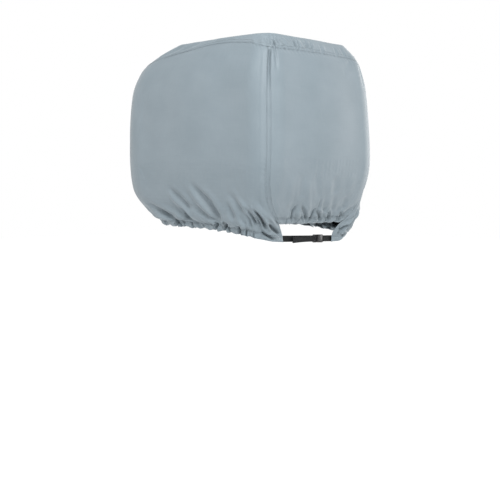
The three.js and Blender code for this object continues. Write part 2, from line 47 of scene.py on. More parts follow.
# Plan sections of the cover at the middle of the solid cloth. Down is the depth below the
# underside of the top, half the half-width, aft and fore the reach along Y, then the
# radii of the corners and how far the flats between them bow out.
Section = namedtuple("Section", "down half aft fore aft_radius fore_radius bow")
SECTIONS = [
    Section(10, 206, 263, 170, 55, 70, 3),
    Section(25, 216, 276, 222, 60, 90, 4),
    Section(47, 230, 294, 284, 68, 110, 5),
    Section(70, 241, 306, 328, 70, 120, 6),
    Section(90, 249, 312, 353, 75, 130, 7),
    Section(140, 262, 322, 381, 80, 140, 8),
    Section(190, 269, 328, 396, 85, 150, 8),
    Section(270, 274, 333, 400, 85, 150, 8),
    Section(340, 277, 336, 397, 85, 150, 8),
    Section(410, 278, 335, 393, 85, 150, 7),
    Section(460, 275, 326, 390, 85, 152, 6),
    Section(500, 269, 314, 383, 86, 155, 5),
    Section(535, 263, 300, 360, 87, 165, 4),
    Section(570, 257, 284, 325, 85, 180, 2),
    Section(600, 248, 268, 288, 80, 190, 0),
    Section(628, 234, 259, 273, 76, 195, 0),
    Section(665, 230, 259, 270, 76, 195, 0),
]
STATIONS = 5

# The upright seam between a side and the back, as a station round the plan.
Seam = namedtuple("Seam", "down station")
CORNER_SEAM = [
    Seam(430, 1.5),
    Seam(480, 1.46),
    Seam(520, 1.38),
    Seam(545, 1.28),
    Seam(578, 1.06),
    Seam(594, 0.9),
    Seam(612, 0.83),
    Seam(632, 0.78),
    Seam(655, 0.765),
]

# Levels of a side, by share of its width from the corner seam to the fore seam: the
# seam with the top, and the hem's edge.
Level = namedtuple("Level", "share top edge")
SIDE_LEVELS = [
    Level(0, 57, 652),
    Level(0.07, 51, 648),
    Level(0.143, 41, 640),
    Level(0.214, 31, 632),
    Level(0.286, 30, 624),
    Level(0.357, 40, 616),
    Level(0.429, 53, 612),
    Level(0.571, 76, 608),
    Level(0.714, 91, 605),
    Level(1, 96, 603),
]
AFT_LEVELS = [
    Level(0, 58, 597),
    Level(0.5, 59, 596),
    Level(0.85, 61, 595),
    Level(1, 57, 594),
]
STARBOARD_EAR_DROP = 7
EAR_WIDTH = 0.2
NOTCH_DOWN = 594
NEAR_CORNER = 100

# The starboard side hangs fuller round its lower aft corner than the port one.
Fullness = namedtuple("Fullness", "head_share head_down foot_share foot_down width height")
STARBOARD_FULL = Fullness(0.13, 450, 0.12, 708, 74, 23)
SIDE_CUT_WIDTH = 930

# The top: down to its rim, its rise to the middle, and the lift over the aft corners.
RIM_DOWN = 10
CROWN = 11
CORNER_LIFT = 2.8
CORNER_DROP = 2.3
TIP_REACH = 0.7
TIP_SHIFT = -0.13

# Cloth, drawn thicker than the real half millimetre so that its edges show. Its middle
# stands outside the solid's, so that the two have the same outer face.
CLOTH = 0.8
FACE = 0.6

# Lapped seams: how far the cloth on top stands off, the lap's width and how it dies
# away, the rows of thread from the lap's edge with the dent along each, and the puckers
# across them. A seam lies in a soft valley, with a ridge beyond it along a corner seam.
# Last, the cloth hidden beneath the lap and the places of rows and columns beside a seam.
LAP_RISE = 1
LAP_WIDTH = 12.5
LAP_END = 16
THREAD_ROWS = (2, 11)
THREAD_DENT = 1.3
DENT_HALF = 2.4
PUCKER_HEIGHT = 0.5
PUCKER_SPACING = 15
PUCKER_FADE = 15
SEAM_VALLEY = 1.8
SEAM_VALLEY_HALF = 13
SEAM_RIDGE = 0.8
SEAM_RIDGE_AWAY = 17
SEAM_RIDGE_HALF = 10
TOP_VALLEY = {"aft": 2.4, "port": 0.7, "starboard": 1.2}
VALLEY_WIDTH = 18
UNDERLAP = (10, 8, 6, 4, 2, 0.9)
NEAR_SEAM = (0, 0.7, 1.4, 2, 2.7, 3.6, 5.2, 7, 8.8, 9.8, 10.4, 11, 11.6, 12.4, 13.4, 14.8, 16.6, 19)

# Hem: its height from the stitch line to the edge, the gap its elastic fills between the
# two layers, and the closer gap over the strap's end, where the elastic has stopped.
HEM_HEIGHT = 19
HEM_GAP = 2.4
EAR_GAP = 1.0
EAR_FLAT = 45

# The elastic draws the hem in, the cloth above it blouses out, and the broad gathers
# lose most of their depth at the hem, where small tucks take up the cloth instead.
ELASTIC_DRAW = {"port": 3, "starboard": 3, "aft": 2}
BLOUSE = {"port": 2.5, "starboard": 2.5, "aft": 1.5}
HEM_PART = 0.5

# How the gathers widen over their rise, the share of it past which they fade, and how far
# above the stitch line they have their full depth. The blouse has its middle and its
# half-height, the draw its lower and upper end, all measured above the stitch line. The
# elastic takes hold over these distances from a panel's first and last seam. Beside a
# seam, folds die out over the last distance.
GATHER_SPREAD = 1.2
GATHER_FADE = 0.2
GATHER_FULL = 26
BLOUSE_MIDDLE = 24
BLOUSE_HALF = 36
DRAW_SPAN = (-3, 15)
SIDE_ELASTIC = ((35, 80), (0, 25))
AFT_ELASTIC = ((10, 40), (10, 40))
SEAM_CALM = 25

# Gathers where the elastic draws a hem in, from the notch forward: the trough's share,
# its depth, how far it rises above the stitch line, and its half-width at the hem.
Gather = namedtuple("Gather", "share depth rise width")
PORT_GATHERS = [
    Gather(0.125, 5, 90, 14),
    Gather(0.2, 4, 70, 15),
    Gather(0.31, 5, 90, 14),
    Gather(0.39, 4, 80, 14),
    Gather(0.46, 5, 80, 15),
    Gather(0.53, 4, 70, 14),
    Gather(0.6, 6, 110, 17),
    Gather(0.665, 4, 75, 14),
    Gather(0.72, 6, 130, 17),
    Gather(0.78, 4, 70, 14),
    Gather(0.84, 6, 115, 16),
    Gather(0.9, 4, 75, 14),
    Gather(0.95, 4, 80, 14),
]
AFT_GATHERS = [
    Gather(-0.82, 3, 50, 14),
    Gather(-0.5, 3, 70, 16),
    Gather(-0.2, 2, 60, 16),
    Gather(0.04, 3, 60, 15),
    Gather(0.5, 3, 60, 15),
]

# Small tight tucks at the hem: the share at the edge, how deep, how far up they run, their
# half-width, and how far their head leans forward of the foot, in millimetres.
Tuck = namedtuple("Tuck", "share depth rise width lean")
PORT_TUCKS = [
    Tuck(0.172, 4, 4, 4, -3),
    Tuck(0.215, 7, 6, 4, -4),
    Tuck(0.24, 6, 4, 3.5, 2),
    Tuck(0.26, 13, 16, 6.5, -9),
    Tuck(0.285, 13, 10, 5.5, 3),
    Tuck(0.313, 16, 20, 7.5, -16),
    Tuck(0.343, 14, 14, 7, -12),
    Tuck(0.382, 6, 4, 3.5, -4),
    Tuck(0.424, 9, 10, 4, -6),
    Tuck(0.46, 14, 14, 6.5, -14),
    Tuck(0.472, 8, 10, 3.5, -2),
    Tuck(0.495, 15, 14, 6.5, -20),
    Tuck(0.53, 9, 10, 4, -8),
    Tuck(0.548, 11, 24, 4.5, -14),
    Tuck(0.566, 9, 16, 4, -2),
    Tuck(0.6, 12, 30, 5, -10),
    Tuck(0.622, 7, 12, 3.5, 3),
    Tuck(0.655, 10, 24, 4.5, -12),
    Tuck(0.676, 12, 20, 4.5, -4),
    Tuck(0.7, 8, 14, 4, 6),
    Tuck(0.744, 11, 30, 5, -8),
    Tuck(0.762, 8, 14, 4, 2),
    Tuck(0.797, 10, 22, 4.5, -10),
    Tuck(0.816, 12, 26, 5, 4),
    Tuck(0.858, 7, 12, 4, 0),
    Tuck(0.88, 11, 26, 5, -8),
    Tuck(0.902, 9, 16, 4, 3),
    Tuck(0.944, 9, 20, 4.5, -5),
    Tuck(0.966, 6, 12, 4, 0),
]
AFT_TUCKS = [
    Tuck(0.83, 3, 8, 3.5, 0),
    Tuck(0.7, 2.5, 6, 3, 0),
    Tuck(0.47, 3, 8, 3, 0),
    Tuck(0.12, 4, 10, 3, 0),
    Tuck(-0.24, 4, 10, 3, 0),
    Tuck(-0.46, 5, 12, 3.5, 0),
    Tuck(-0.84, 5, 12, 4, 0),
]

# Creases, listed as lines of (share, down) from head to foot, with the half-widths
# and heights at head and foot in millimetres. A trough is negative.
Crease = namedtuple("Crease", "line width height")
PORT_CREASES = [
    # The longest trough, from mid-height down and aft to the hem, between raised lips.
    Crease([(0.29, 456), (0.279, 482), (0.268, 507), (0.261, 530), (0.268, 552), (0.28, 576), (0.3, 600)],
           (12, 15), (-6, -22)),
    Crease([(0.303, 454), (0.29, 496), (0.289, 538), (0.299, 566), (0.318, 592)],
           (10, 11), (2, 7)),
    Crease([(0.263, 470), (0.248, 495), (0.239, 520), (0.24, 544), (0.25, 568)],
           (11, 13), (2, 4)),
    # The second trough, shorter and crisper, ends before the hem in a dark fork.
    Crease([(0.358, 474), (0.346, 496), (0.336, 514), (0.335, 531), (0.342, 556)],
           (11, 11), (-4, -10)),
    Crease([(0.365, 484), (0.357, 514), (0.355, 537), (0.355, 554), (0.364, 573)],
           (8, 9), (3, 5)),
    Crease([(0.362, 536), (0.368, 557), (0.378, 572), (0.4, 588)], (8, 8), (-5, -12)),
    Crease([(0.372, 558), (0.386, 572), (0.41, 588)], (4, 5), (-6, -8)),
    Crease([(0.392, 545), (0.405, 566), (0.43, 585)], (8, 8), (3, 5)),
    # Low on the side, toward the fore corner: a dark hollow above a roll along the hem.
    Crease([(0.482, 516), (0.472, 541), (0.464, 557), (0.451, 568), (0.44, 584)],
           (14, 11), (-3, -10)),
    Crease([(0.462, 552), (0.451, 562), (0.44, 576)], (4, 4), (-3, -6)),
    Crease([(0.56, 548), (0.531, 560), (0.512, 575), (0.488, 585), (0.46, 588)],
           (9, 8), (3, 6)),
    Crease([(0.585, 525), (0.572, 552), (0.57, 580)], (11, 11), (-2, -7)),
    Crease([(0.64, 505), (0.635, 545), (0.645, 585)], (14, 14), (2, 5)),
    Crease([(0.7, 470), (0.69, 520), (0.7, 575)], (12, 13), (-3, -9)),
    Crease([(0.745, 500), (0.742, 540), (0.75, 580)], (10, 11), (-2, -6)),
    Crease([(0.79, 490), (0.8, 530), (0.812, 572)], (12, 13), (-2, -8)),
    Crease([(0.88, 480), (0.885, 520), (0.89, 575)], (13, 14), (2, 5)),
    Crease([(0.925, 500), (0.92, 540), (0.93, 582)], (9, 11), (-2, -6)),
    # Soft falls between the corner seam and the long trough.
    Crease([(0.194, 490), (0.186, 518), (0.184, 538), (0.172, 562)], (11, 10), (-3, -8)),
    Crease([(0.208, 525), (0.213, 545), (0.223, 563), (0.238, 586)], (9, 9), (-3, -9)),
    Crease([(0.176, 505), (0.151, 541), (0.137, 566)], (10, 8), (2, 4)),
    Crease([(0.206, 560), (0.203, 585), (0.2, 612)], (10, 11), (2, 4)),
    Crease([(0.15, 538), (0.135, 558), (0.128, 580), (0.134, 604)], (4.5, 4.5), (-6, -11)),
    # The ear: a long bright roll, two deep folds with a small lobe between them, a lower
    # lobe, and a dark wedge above the edge.
    Crease([(0.118, 505), (0.075, 541), (0.045, 574), (0.018, 606), (0.008, 622)],
           (11, 8), (3, 8)),
    Crease([(0.108, 542), (0.09, 558), (0.082, 578), (0.086, 600), (0.09, 612)],
           (4, 4.5), (-12, -18)),
    Crease([(0.062, 576), (0.07, 598), (0.073, 615)], (6, 6), (5, 8)),
    Crease([(0.062, 586), (0.057, 600), (0.035, 614), (0.012, 630)], (4, 5), (-14, -20)),
    Crease([(0.12, 598), (0.1, 613), (0.063, 625), (0.014, 640)], (7, 8), (4, 7)),
    Crease([(0.122, 616), (0.097, 628), (0.075, 636), (0.038, 646)], (4, 4), (-11, -15)),
    Crease([(0.15, 608), (0.135, 622), (0.115, 632)], (6, 6), (3, 4)),
    Crease([(0.108, 556), (0.104, 580), (0.112, 604)], (4, 4), (-4, -7)),
    Crease([(0.12, 530), (0.1, 552), (0.1, 574)], (6, 6), (3, 5)),
    Crease([(0.05, 566), (0.042, 588), (0.026, 606), (0.006, 618)], (4, 4), (-4, -9)),
    Crease([(0.16, 560), (0.158, 586), (0.168, 612)], (5, 5), (-3, -8)),
    # Faint drags off the corner seam under the top.
    Crease([(0.03, 62), (0.036, 95), (0.05, 150), (0.06, 205)], (22, 26), (-2.4, -0.8)),
    Crease([(0.47, 120), (0.44, 180), (0.425, 250), (0.42, 330)], (30, 45), (-3, -3)),
    Crease([(0.2, 70), (0.205, 160), (0.19, 260)], (40, 60), (-2.5, -2.5)),
    Crease([(0.33, 90), (0.31, 200), (0.3, 330)], (45, 60), (2, 2)),
    Crease([(0.62, 130), (0.6, 240), (0.63, 360)], (50, 60), (-3, -3)),
    Crease([(0.8, 150), (0.82, 280), (0.8, 400)], (50, 60), (2.5, 3)),
]
STARBOARD_CREASES = [
    # A crumpled ear, with short folds that cross each other.
    Crease([(0.1, 520), (0.075, 556), (0.06, 590), (0.03, 612)], (10, 9), (3, 6)),
    Crease([(0.07, 560), (0.06, 590), (0.036, 612), (0.01, 622)], (7, 8), (-4, -9)),
    Crease([(0.112, 585), (0.1, 606), (0.078, 622)], (7, 8), (-4, -8)),
    Crease([(0.13, 612), (0.105, 626), (0.07, 634)], (6, 6), (4, 5)),
    Crease([(0.085, 630), (0.062, 640), (0.03, 646)], (6, 5), (-5, -7)),
    Crease([(0.06, 612), (0.045, 628), (0.05, 646)], (6, 6), (5, 4)),
    Crease([(0.15, 560), (0.148, 590), (0.155, 618)], (8, 9), (-3, -7)),
    Crease([(0.02, 600), (0.028, 620), (0.02, 640)], (6, 6), (3, 3)),
    Crease([(0.12, 640), (0.1, 646), (0.09, 652)], (5, 5), (-5, -6)),
    Crease([(0.035, 540), (0.042, 566), (0.028, 590), (0.036, 606)], (5, 6), (-5, -10)),
    Crease([(0.004, 572), (0.012, 590), (0.006, 610)], (6, 6), (-4, -8)),
    Crease([(0.012, 548), (0.022, 570), (0.02, 592)], (7, 7), (3, 5)),
    Crease([(0.06, 530), (0.085, 566), (0.09, 590)], (6, 7), (-4, -9)),
    Crease([(0.062, 560), (0.058, 588), (0.042, 616), (0.018, 640)], (4, 4), (-6, -12)),
    Crease([(0.05, 552), (0.045, 582), (0.034, 604)], (6, 6), (3, 5)),
    Crease([(0.016, 606), (0.034, 624), (0.046, 642)], (4, 4), (-5, -10)),
    # Falls along the side, fewer and broader than on the port side.
    Crease([(0.23, 450), (0.215, 500), (0.222, 550), (0.235, 590)], (11, 14), (-3, -9)),
    Crease([(0.26, 470), (0.25, 525), (0.262, 585)], (13, 15), (2, 6)),
    Crease([(0.318, 490), (0.31, 535), (0.322, 585)], (10, 12), (-2, -8)),
    Crease([(0.405, 440), (0.39, 495), (0.385, 545), (0.4, 588)], (11, 14), (-3, -10)),
    Crease([(0.43, 480), (0.42, 530), (0.428, 582)], (12, 14), (2, 5)),
    Crease([(0.5, 510), (0.49, 550), (0.486, 585)], (10, 12), (-2, -7)),
    Crease([(0.59, 460), (0.575, 520), (0.58, 580)], (13, 15), (-3, -9)),
    Crease([(0.66, 490), (0.66, 535), (0.672, 575)], (13, 15), (2, 5)),
    Crease([(0.74, 470), (0.735, 520), (0.745, 572)], (12, 14), (-3, -8)),
    Crease([(0.86, 480), (0.85, 525), (0.855, 570)], (12, 14), (-2, -8)),
    Crease([(0.93, 500), (0.925, 540), (0.92, 572)], (12, 13), (2, 4)),
    Crease([(0.012, 64), (0.025, 105), (0.05, 170)], (8, 14), (-2, -1.4)),
    Crease([(0.4, 110), (0.38, 200), (0.4, 320)], (40, 55), (-3, -3)),
    Crease([(0.22, 80), (0.2, 180), (0.21, 300)], (40, 60), (-2.5, -2)),
    Crease([(0.66, 130), (0.68, 250), (0.66, 380)], (50, 60), (-3, -3)),
    Crease([(0.85, 140), (0.83, 260), (0.86, 390)], (45, 60), (2.5, 3)),
]
AFT_CREASES = [
    # Puckers shaped like an A: two crisp legs that meet above a puffed lobe on the hem.
    Crease([(0.42, 526), (0.45, 540), (0.493, 552), (0.546, 566), (0.566, 579), (0.59, 592)],
           (5, 5), (-5, -15)),
    Crease([(0.36, 526), (0.33, 542), (0.284, 554), (0.226, 570), (0.152, 592)],
           (5, 5), (-5, -14)),
    Crease([(0.395, 545), (0.41, 564), (0.39, 590)], (8, 8), (4, 7)),
    Crease([(-0.45, 566), (-0.5, 580), (-0.56, 592)], (6, 7), (3, 5)),
    Crease([(0.34, 568), (0.29, 580), (0.235, 592)], (3.5, 3.5), (-3, -5)),
    Crease([(-0.012, 542), (0.035, 556), (0.055, 568), (0.043, 583), (0.003, 592)],
           (5, 5), (-6, -15)),
    Crease([(0.01, 548), (-0.06, 562), (-0.137, 572), (-0.313, 594)], (5, 5), (-6, -13)),
    Crease([(-0.012, 560), (-0.061, 576), (-0.15, 592)], (7, 8), (4, 7)),
    Crease([(0.005, 512), (-0.008, 525), (-0.025, 537), (-0.05, 550)], (5, 5), (-3, -6)),
    Crease([(-0.07, 510), (-0.1, 526), (-0.148, 542), (-0.228, 560)], (10, 9), (-2, -5)),
    Crease([(-0.03, 547), (-0.1, 554), (-0.175, 560), (-0.324, 570)], (5, 5), (4, 4)),
    Crease([(-0.3, 552), (-0.35, 565), (-0.42, 576), (-0.59, 593)], (5, 5), (-6, -15)),
    Crease([(-0.6, 552), (-0.66, 564), (-0.764, 576), (-0.93, 593)], (5, 5), (-6, -14)),
    Crease([(-0.23, 500), (-0.275, 520), (-0.34, 540), (-0.44, 562)], (12, 10), (-1.5, -6)),
    Crease([(-0.47, 500), (-0.53, 520), (-0.6, 538), (-0.7, 556)], (12, 10), (-1.5, -7)),
    Crease([(-0.36, 520), (-0.45, 545), (-0.55, 570)], (11, 9), (1, 3)),
    Crease([(-0.76, 556), (-0.8, 568), (-0.83, 580)], (4, 4), (-3, -5)),
    Crease([(0.69, 560), (0.71, 578), (0.7, 594)], (12, 12), (2, 3)),
    # Broad soft bands above them.
    Crease([(0.384, 430), (0.384, 473), (0.385, 520)], (17, 12), (-2, -3.5)),
    Crease([(0.18, 425), (0.16, 450), (0.1, 489), (0.0, 520)], (16, 11), (-2, -3)),
    Crease([(-0.17, 440), (-0.2, 470), (-0.245, 505)], (20, 16), (-2, -3)),
    Crease([(0.3, 440), (0.265, 490), (0.22, 530), (0.15, 566)], (14, 10), (2, 4)),
    Crease([(-0.05, 450), (-0.1, 480), (-0.146, 505), (-0.29, 548)], (18, 13), (1.5, 2)),
    Crease([(0.55, 440), (0.56, 490), (0.62, 545)], (16, 13), (2, 3)),
    Crease([(-0.46, 430), (-0.5, 470), (-0.56, 510)], (22, 18), (1.5, 2)),
    # The soft valley beside the corner seam, and drags from the top's aft corners.
    Crease([(0.915, 505), (0.917, 540), (0.96, 572)], (7, 8), (-2, -4)),
    Crease([(0.868, 34), (0.862, 52), (0.855, 68), (0.84, 95), (0.82, 130)], (3.5, 5), (-6, -3)),
    Crease([(-0.64, 64), (-0.591, 72), (-0.479, 91), (-0.36, 112)], (8, 9), (-2.6, -1.2)),
    Crease([(-0.88, 66), (-0.84, 100), (-0.8, 160)], (8, 14), (-2.4, -1.4)),
    Crease([(0.3, 62), (0.35, 130), (0.3, 240)], (45, 60), (-2, -2)),
    Crease([(-0.3, 120), (-0.25, 230), (-0.3, 350)], (50, 65), (2, 2)),
]
TOP_CREASES = {
    "aft": [
        # Slanting puckers between the aft rim and the seam below it.
        Crease([(0.89, 10), (0.92, 30), (0.945, 56)], (3, 3.5), (-3, -4)),
        Crease([(0.885, 18), (0.868, 38), (0.86, 60), (0.855, 85)], (3.5, 4), (-8, -9)),
        Crease([(0.74, 16), (0.71, 30), (0.668, 43), (0.58, 58)], (4, 4.5), (-8, -9)),
        Crease([(0.82, 16), (0.79, 36), (0.74, 58)], (4, 4.5), (-4, -5)),
        Crease([(0.64, 18), (0.6, 30), (0.55, 44)], (7, 7), (3.5, 3)),
        Crease([(0.42, 14), (0.425, 34), (0.438, 64)], (3.6, 4), (-7, -8)),
        Crease([(0.39, 20), (0.395, 36), (0.405, 54)], (4.5, 4.5), (3, 3)),
        Crease([(0.345, 14), (0.354, 34), (0.374, 64)], (3.6, 4), (-7, -8)),
        Crease([(0.3, 18), (0.3, 34), (0.31, 52)], (6, 6), (2.5, 3)),
        Crease([(0.15, 18), (0.185, 34), (0.247, 57)], (4.5, 5), (-5, -7)),
        Crease([(0.055, 20), (0.09, 34), (0.165, 57)], (4.5, 5), (-5, -7)),
        Crease([(0.11, 22), (0.15, 38), (0.2, 54)], (5, 5), (2, 2)),
        Crease([(-0.13, 26), (-0.09, 42), (-0.04, 59)], (5, 6), (-3, -5)),
        Crease([(-0.2, 24), (-0.16, 38), (-0.12, 54)], (6, 6), (1, 1)),
        Crease([(-0.45, 26), (-0.41, 42), (-0.345, 59)], (6, 6), (-3, -5)),
        Crease([(-0.6, 22), (-0.57, 38), (-0.53, 58)], (6, 6), (-2, -4)),
        Crease([(-0.86, 22), (-0.88, 40), (-0.9, 58)], (6, 7), (-1.4, -2)),
        # A faint pull across the crown, from the corner inward.
        Crease([(0.95, 12), (0.3, 10)], (14, 20), (1.4, 1)),
    ],
    "port": [
        # The port edge: a pleat that runs up from the corner seam, and creases fore of it.
        Crease([(0.005, 22), (0.004, 40), (0.003, 58)], (5, 6), (-2.4, -2.6)),
        Crease([(0.03, 26), (0.036, 40), (0.044, 52)], (7, 7), (2.2, 1.8)),
        Crease([(0.1, 16), (0.085, 30), (0.07, 44)], (9, 9), (-1.6, -1.8)),
        Crease([(0.34, 14), (0.365, 24), (0.39, 36)], (7, 7), (-2.2, -2.4)),
        Crease([(0.4, 20), (0.43, 32), (0.45, 46)], (8, 8), (-2, -2.6)),
        Crease([(0.44, 18), (0.465, 34), (0.49, 50)], (9, 9), (2, 2)),
        Crease([(0.56, 30), (0.59, 50), (0.61, 70)], (12, 12), (-2.4, -2.4)),
        Crease([(0.72, 30), (0.73, 56), (0.74, 82)], (14, 14), (-2, -2.6)),
        Crease([(0.88, 26), (0.89, 56), (0.9, 86)], (16, 16), (-2.4, -2.6)),
        # A faint pull across the crown, from the corner inward.
        Crease([(0.1, 11), (0.3, 10)], (14, 20), (1.2, 1)),
    ],
    "starboard": [
        Crease([(0.02, 22), (0.016, 40), (0.01, 58)], (6, 7), (-2, -2.6)),
        Crease([(0.15, 16), (0.13, 26), (0.12, 38)], (9, 9), (-1.8, -1.8)),
        Crease([(0.33, 14), (0.36, 26), (0.38, 38)], (8, 8), (-2, -2.4)),
        Crease([(0.5, 26), (0.53, 44), (0.55, 62)], (12, 12), (-2.2, -2.6)),
        Crease([(0.66, 30), (0.67, 54), (0.68, 78)], (13, 13), (2, 2)),
        Crease([(0.8, 28), (0.81, 56), (0.82, 84)], (15, 15), (-2.4, -2.6)),
        # A faint pull across the crown, from the corner inward.
        Crease([(0.06, 11), (0.32, 10)], (14, 20), (1.2, 1)),
    ],
}

# Spare cloth along the hem that the broad gathers take up, as a share of its length, and
# the part of a panel's height, from the top seam to the stitch line, where the skirt starts.
# Then the grid that settles, how far above the stitch line its cloth slides along, the
# bands that hold it at its head and at the seams, and the rows of the finished panels.
SPARE = {"port": 0.012, "starboard": 0.012, "aft": 0.012}
SKIRT_TOP = 0.58
SKIRT_STEP = 6.2
SKIRT_GRID_ROWS = 36
HEM_GRID_ROWS = [1.33, 1.67, 2.0]
SLIDE_HEIGHT = 110
HELD_BAND = 0.09
HELD_EDGE = 14
SETTLE_FRAMES = 28
UPPER_ROWS = 26
SKIRT_ROWS = 72
HEM_ROWS = 12

SIDES = {"port": 1, "starboard": -1}
CREASES = {"port": PORT_CREASES, "starboard": STARBOARD_CREASES, "aft": AFT_CREASES}


def through(keys, values, at):
    """A smooth curve through values, or rows of them, at keys, level past the ends."""
    more = (1,) * (values.ndim - 1)
    slopes = np.empty_like(values)
    width = (keys[2:] - keys[:-2]).reshape(-1, *more)
    slopes[1:-1] = (values[2:] - values[:-2]) / width
    slopes[0] = (values[1] - values[0]) / (keys[1] - keys[0])
    slopes[-1] = (values[-1] - values[-2]) / (keys[-1] - keys[-2])
    at = np.clip(at, keys[0], keys[-1])
    i = np.clip(np.searchsorted(keys, at, side="right") - 1, 0, len(keys) - 2)
    span = keys[i + 1] - keys[i]
    t = ((at - keys[i]) / span).reshape(np.shape(at) + more)
    span = np.reshape(span, np.shape(at) + more)
    bend = t * t * (3 - 2 * t)
    rise = span * t * (1 - t) * ((1 - t) * slopes[i] - t * slopes[i + 1])
    return values[i] + (values[i + 1] - values[i]) * bend + rise


def curve(rows, column, at):
    """Smooth value of a column at places along a table's first column."""
    keys = np.array([row[0] for row in rows], float)
    values = np.array([getattr(row, column) for row in rows], float)
    return through(keys, values, np.asarray(at, float))


def bell(t):
    """One at zero, falling smoothly to nothing at one on either side."""
    return np.where(np.abs(t) >= 1, 0.0, np.cos(np.clip(t, -1, 1) * math.pi / 2) ** 2)


def smooth(low, high, at):
    """Zero up to low, one from high on, and a soft rise between them."""
    t = np.clip((at - low) / (high - low), 0, 1)
    return t * t * (3 - 2 * t)


def unit(vectors):
    """Vectors scaled to a length of one."""
    return vectors / np.maximum(np.linalg.norm(vectors, axis=-1, keepdims=True), 1e-9)


def run_of(points):
    """Distances along a line of points, or down each column of a grid of them."""
    steps = np.linalg.norm(np.diff(points, axis=0), axis=-1)
    return np.concatenate([np.zeros_like(steps[:1]), np.cumsum(steps, axis=0)])


def ripple(along, spacing, seed):
    """An uneven wave, from -1 to 1, whose crests are about a spacing apart."""
    phase = 2 * math.pi * along / spacing
    phase = phase + 1.4 * np.sin(along / (4.1 * spacing) + seed)
    phase = phase + 1.1 * np.sin(along / (1.9 * spacing) + 2.7 * seed)
    swell = 0.6 + 0.4 * np.sin(along / (2.6 * spacing) + 4.3 * seed)
    return swell * np.sin(phase + 5.1 * seed)


def outline(station, down):
    """A place on the plan outline: stations run from the aft middle to the fore middle."""
    station, down = np.broadcast_arrays(np.asarray(station, float), np.asarray(down, float))
    at = {name: curve(SECTIONS, name, down) for name in Section._fields[1:]}
    aft_flat = at["half"] - at["aft_radius"]
    fore_flat = at["half"] - at["fore_radius"]
    side_start = at["aft_radius"] - at["aft"]
    side_end = at["fore"] - at["fore_radius"]
    q = np.abs(station)
    leg = np.clip(np.floor(q), 0, STATIONS - 1)
    t = q - leg
    turn = t * math.pi / 2
    legs = [leg == n for n in range(STATIONS)]
    x = np.select(legs, [
        t * aft_flat,
        aft_flat + at["aft_radius"] * np.sin(turn),
        at["half"] + at["bow"] * bell(2 * t - 1),
        fore_flat + at["fore_radius"] * np.cos(turn),
        (1 - t) * fore_flat,
    ])
    y = np.select(legs, [
        -at["aft"] - at["bow"] * bell(t),
        side_start - at["aft_radius"] * np.cos(turn),
        side_start + (side_end - side_start) * t,
        side_end + at["fore_radius"] * np.sin(turn),
        at["fore"] + at["bow"] * bell(1 - t),
    ])
    return np.stack([np.where(station < 0, x, -x), y, -down], axis=-1)


def station_of(panel, share, down):
    """The station of a place on a panel, by its share of the width and its depth."""
    corner = curve(CORNER_SEAM, "station", down)
    if panel == "aft":
        return share * corner
    around = CORNER_SEAM[0].station + (STATIONS - CORNER_SEAM[0].station) * share
    shift = (corner - CORNER_SEAM[0].station) * (1 - share) ** 2
    return SIDES[panel] * (around + shift)


def level(panel, name, share):
    """Depth of a panel's top seam, or of its hem's edge, at a share of its width."""
    if panel == "aft":
        return curve(AFT_LEVELS, name, np.abs(share))
    drop = STARBOARD_EAR_DROP * bell(share / EAR_WIDTH)
    low = panel == "starboard" and name == "edge"
    return curve(SIDE_LEVELS, name, share) + (drop if low else 0)


def fullness(panel, share, down):
    """How far the starboard cloth stands outside the port side's mirrored shape."""
    if panel != "starboard":
        return np.zeros(np.broadcast(share, down).shape)
    full = STARBOARD_FULL
    t = (down - full.head_down) / (full.foot_down - full.head_down)
    centre = full.head_share + (full.foot_share - full.head_share) * t
    off = (share - centre) * SIDE_CUT_WIDTH / full.width
    return full.height * bell(off / 2) * bell(2 * t - 1)


def lay(panel, share, down):
    """Smooth places on a panel with the outward normal and the unit steps along and down."""
    plain = lambda s, d: outline(station_of(panel, s, d), d)
    along = unit(plain(share + 0.002, down) - plain(share - 0.002, down))
    fall = unit(plain(share, down + 1) - plain(share, down - 1))
    normal = unit(np.cross(along, fall))
    point = plain(share, down)
    inside = outline(STATIONS / 2, down) * np.array([0, 1, 1])
    outward = np.sign(np.sum(normal * (point - inside), axis=-1, keepdims=True))
    normal = normal * outward
    return point + normal * fullness(panel, share, down)[..., None], normal, along, fall


REACH_DOWN = 560
FINE = 700


def reach_table(panel):
    """Shares of a panel and their distances, in millimetres, from its first seam."""
    fine = np.linspace(-1 if panel == "aft" else 0, 1, FINE)
    return fine, run_of(outline(station_of(panel, fine, REACH_DOWN), REACH_DOWN))


REACHES = {panel: reach_table(panel) for panel in ("port", "starboard", "aft")}


def reach_of(panel, share):
    """Distance of a share from the panel's first seam, in millimetres."""
    fine, reach = REACHES[panel]
    return np.interp(share, fine, reach)


def share_at(panel, reach):
    """The share at a distance from the panel's first seam."""
    fine, known = REACHES[panel]
    return np.interp(reach, known, fine)


def width_of(panel):
    """Distance from a panel's first seam to its last."""
    return REACHES[panel][1][-1]


def golden(number):
    """An even scatter between 0 and 1."""
    return (number * (5 ** 0.5 - 1) / 2) % 1


def gathers_of(panel):
    """The starboard gathers are as uneven as the port ones, but not their mirror image."""
    if panel == "aft":
        return AFT_GATHERS
    if panel == "port":
        return PORT_GATHERS
    return [
        row._replace(
            share=row.share + 0.03 * (golden(3 * n) - 0.5),
            depth=row.depth * (0.8 + 0.4 * golden(n)),
            rise=row.rise * (0.8 + 0.4 * golden(5 * n + 1)),
        )
        for n, row in enumerate(PORT_GATHERS)
    ]


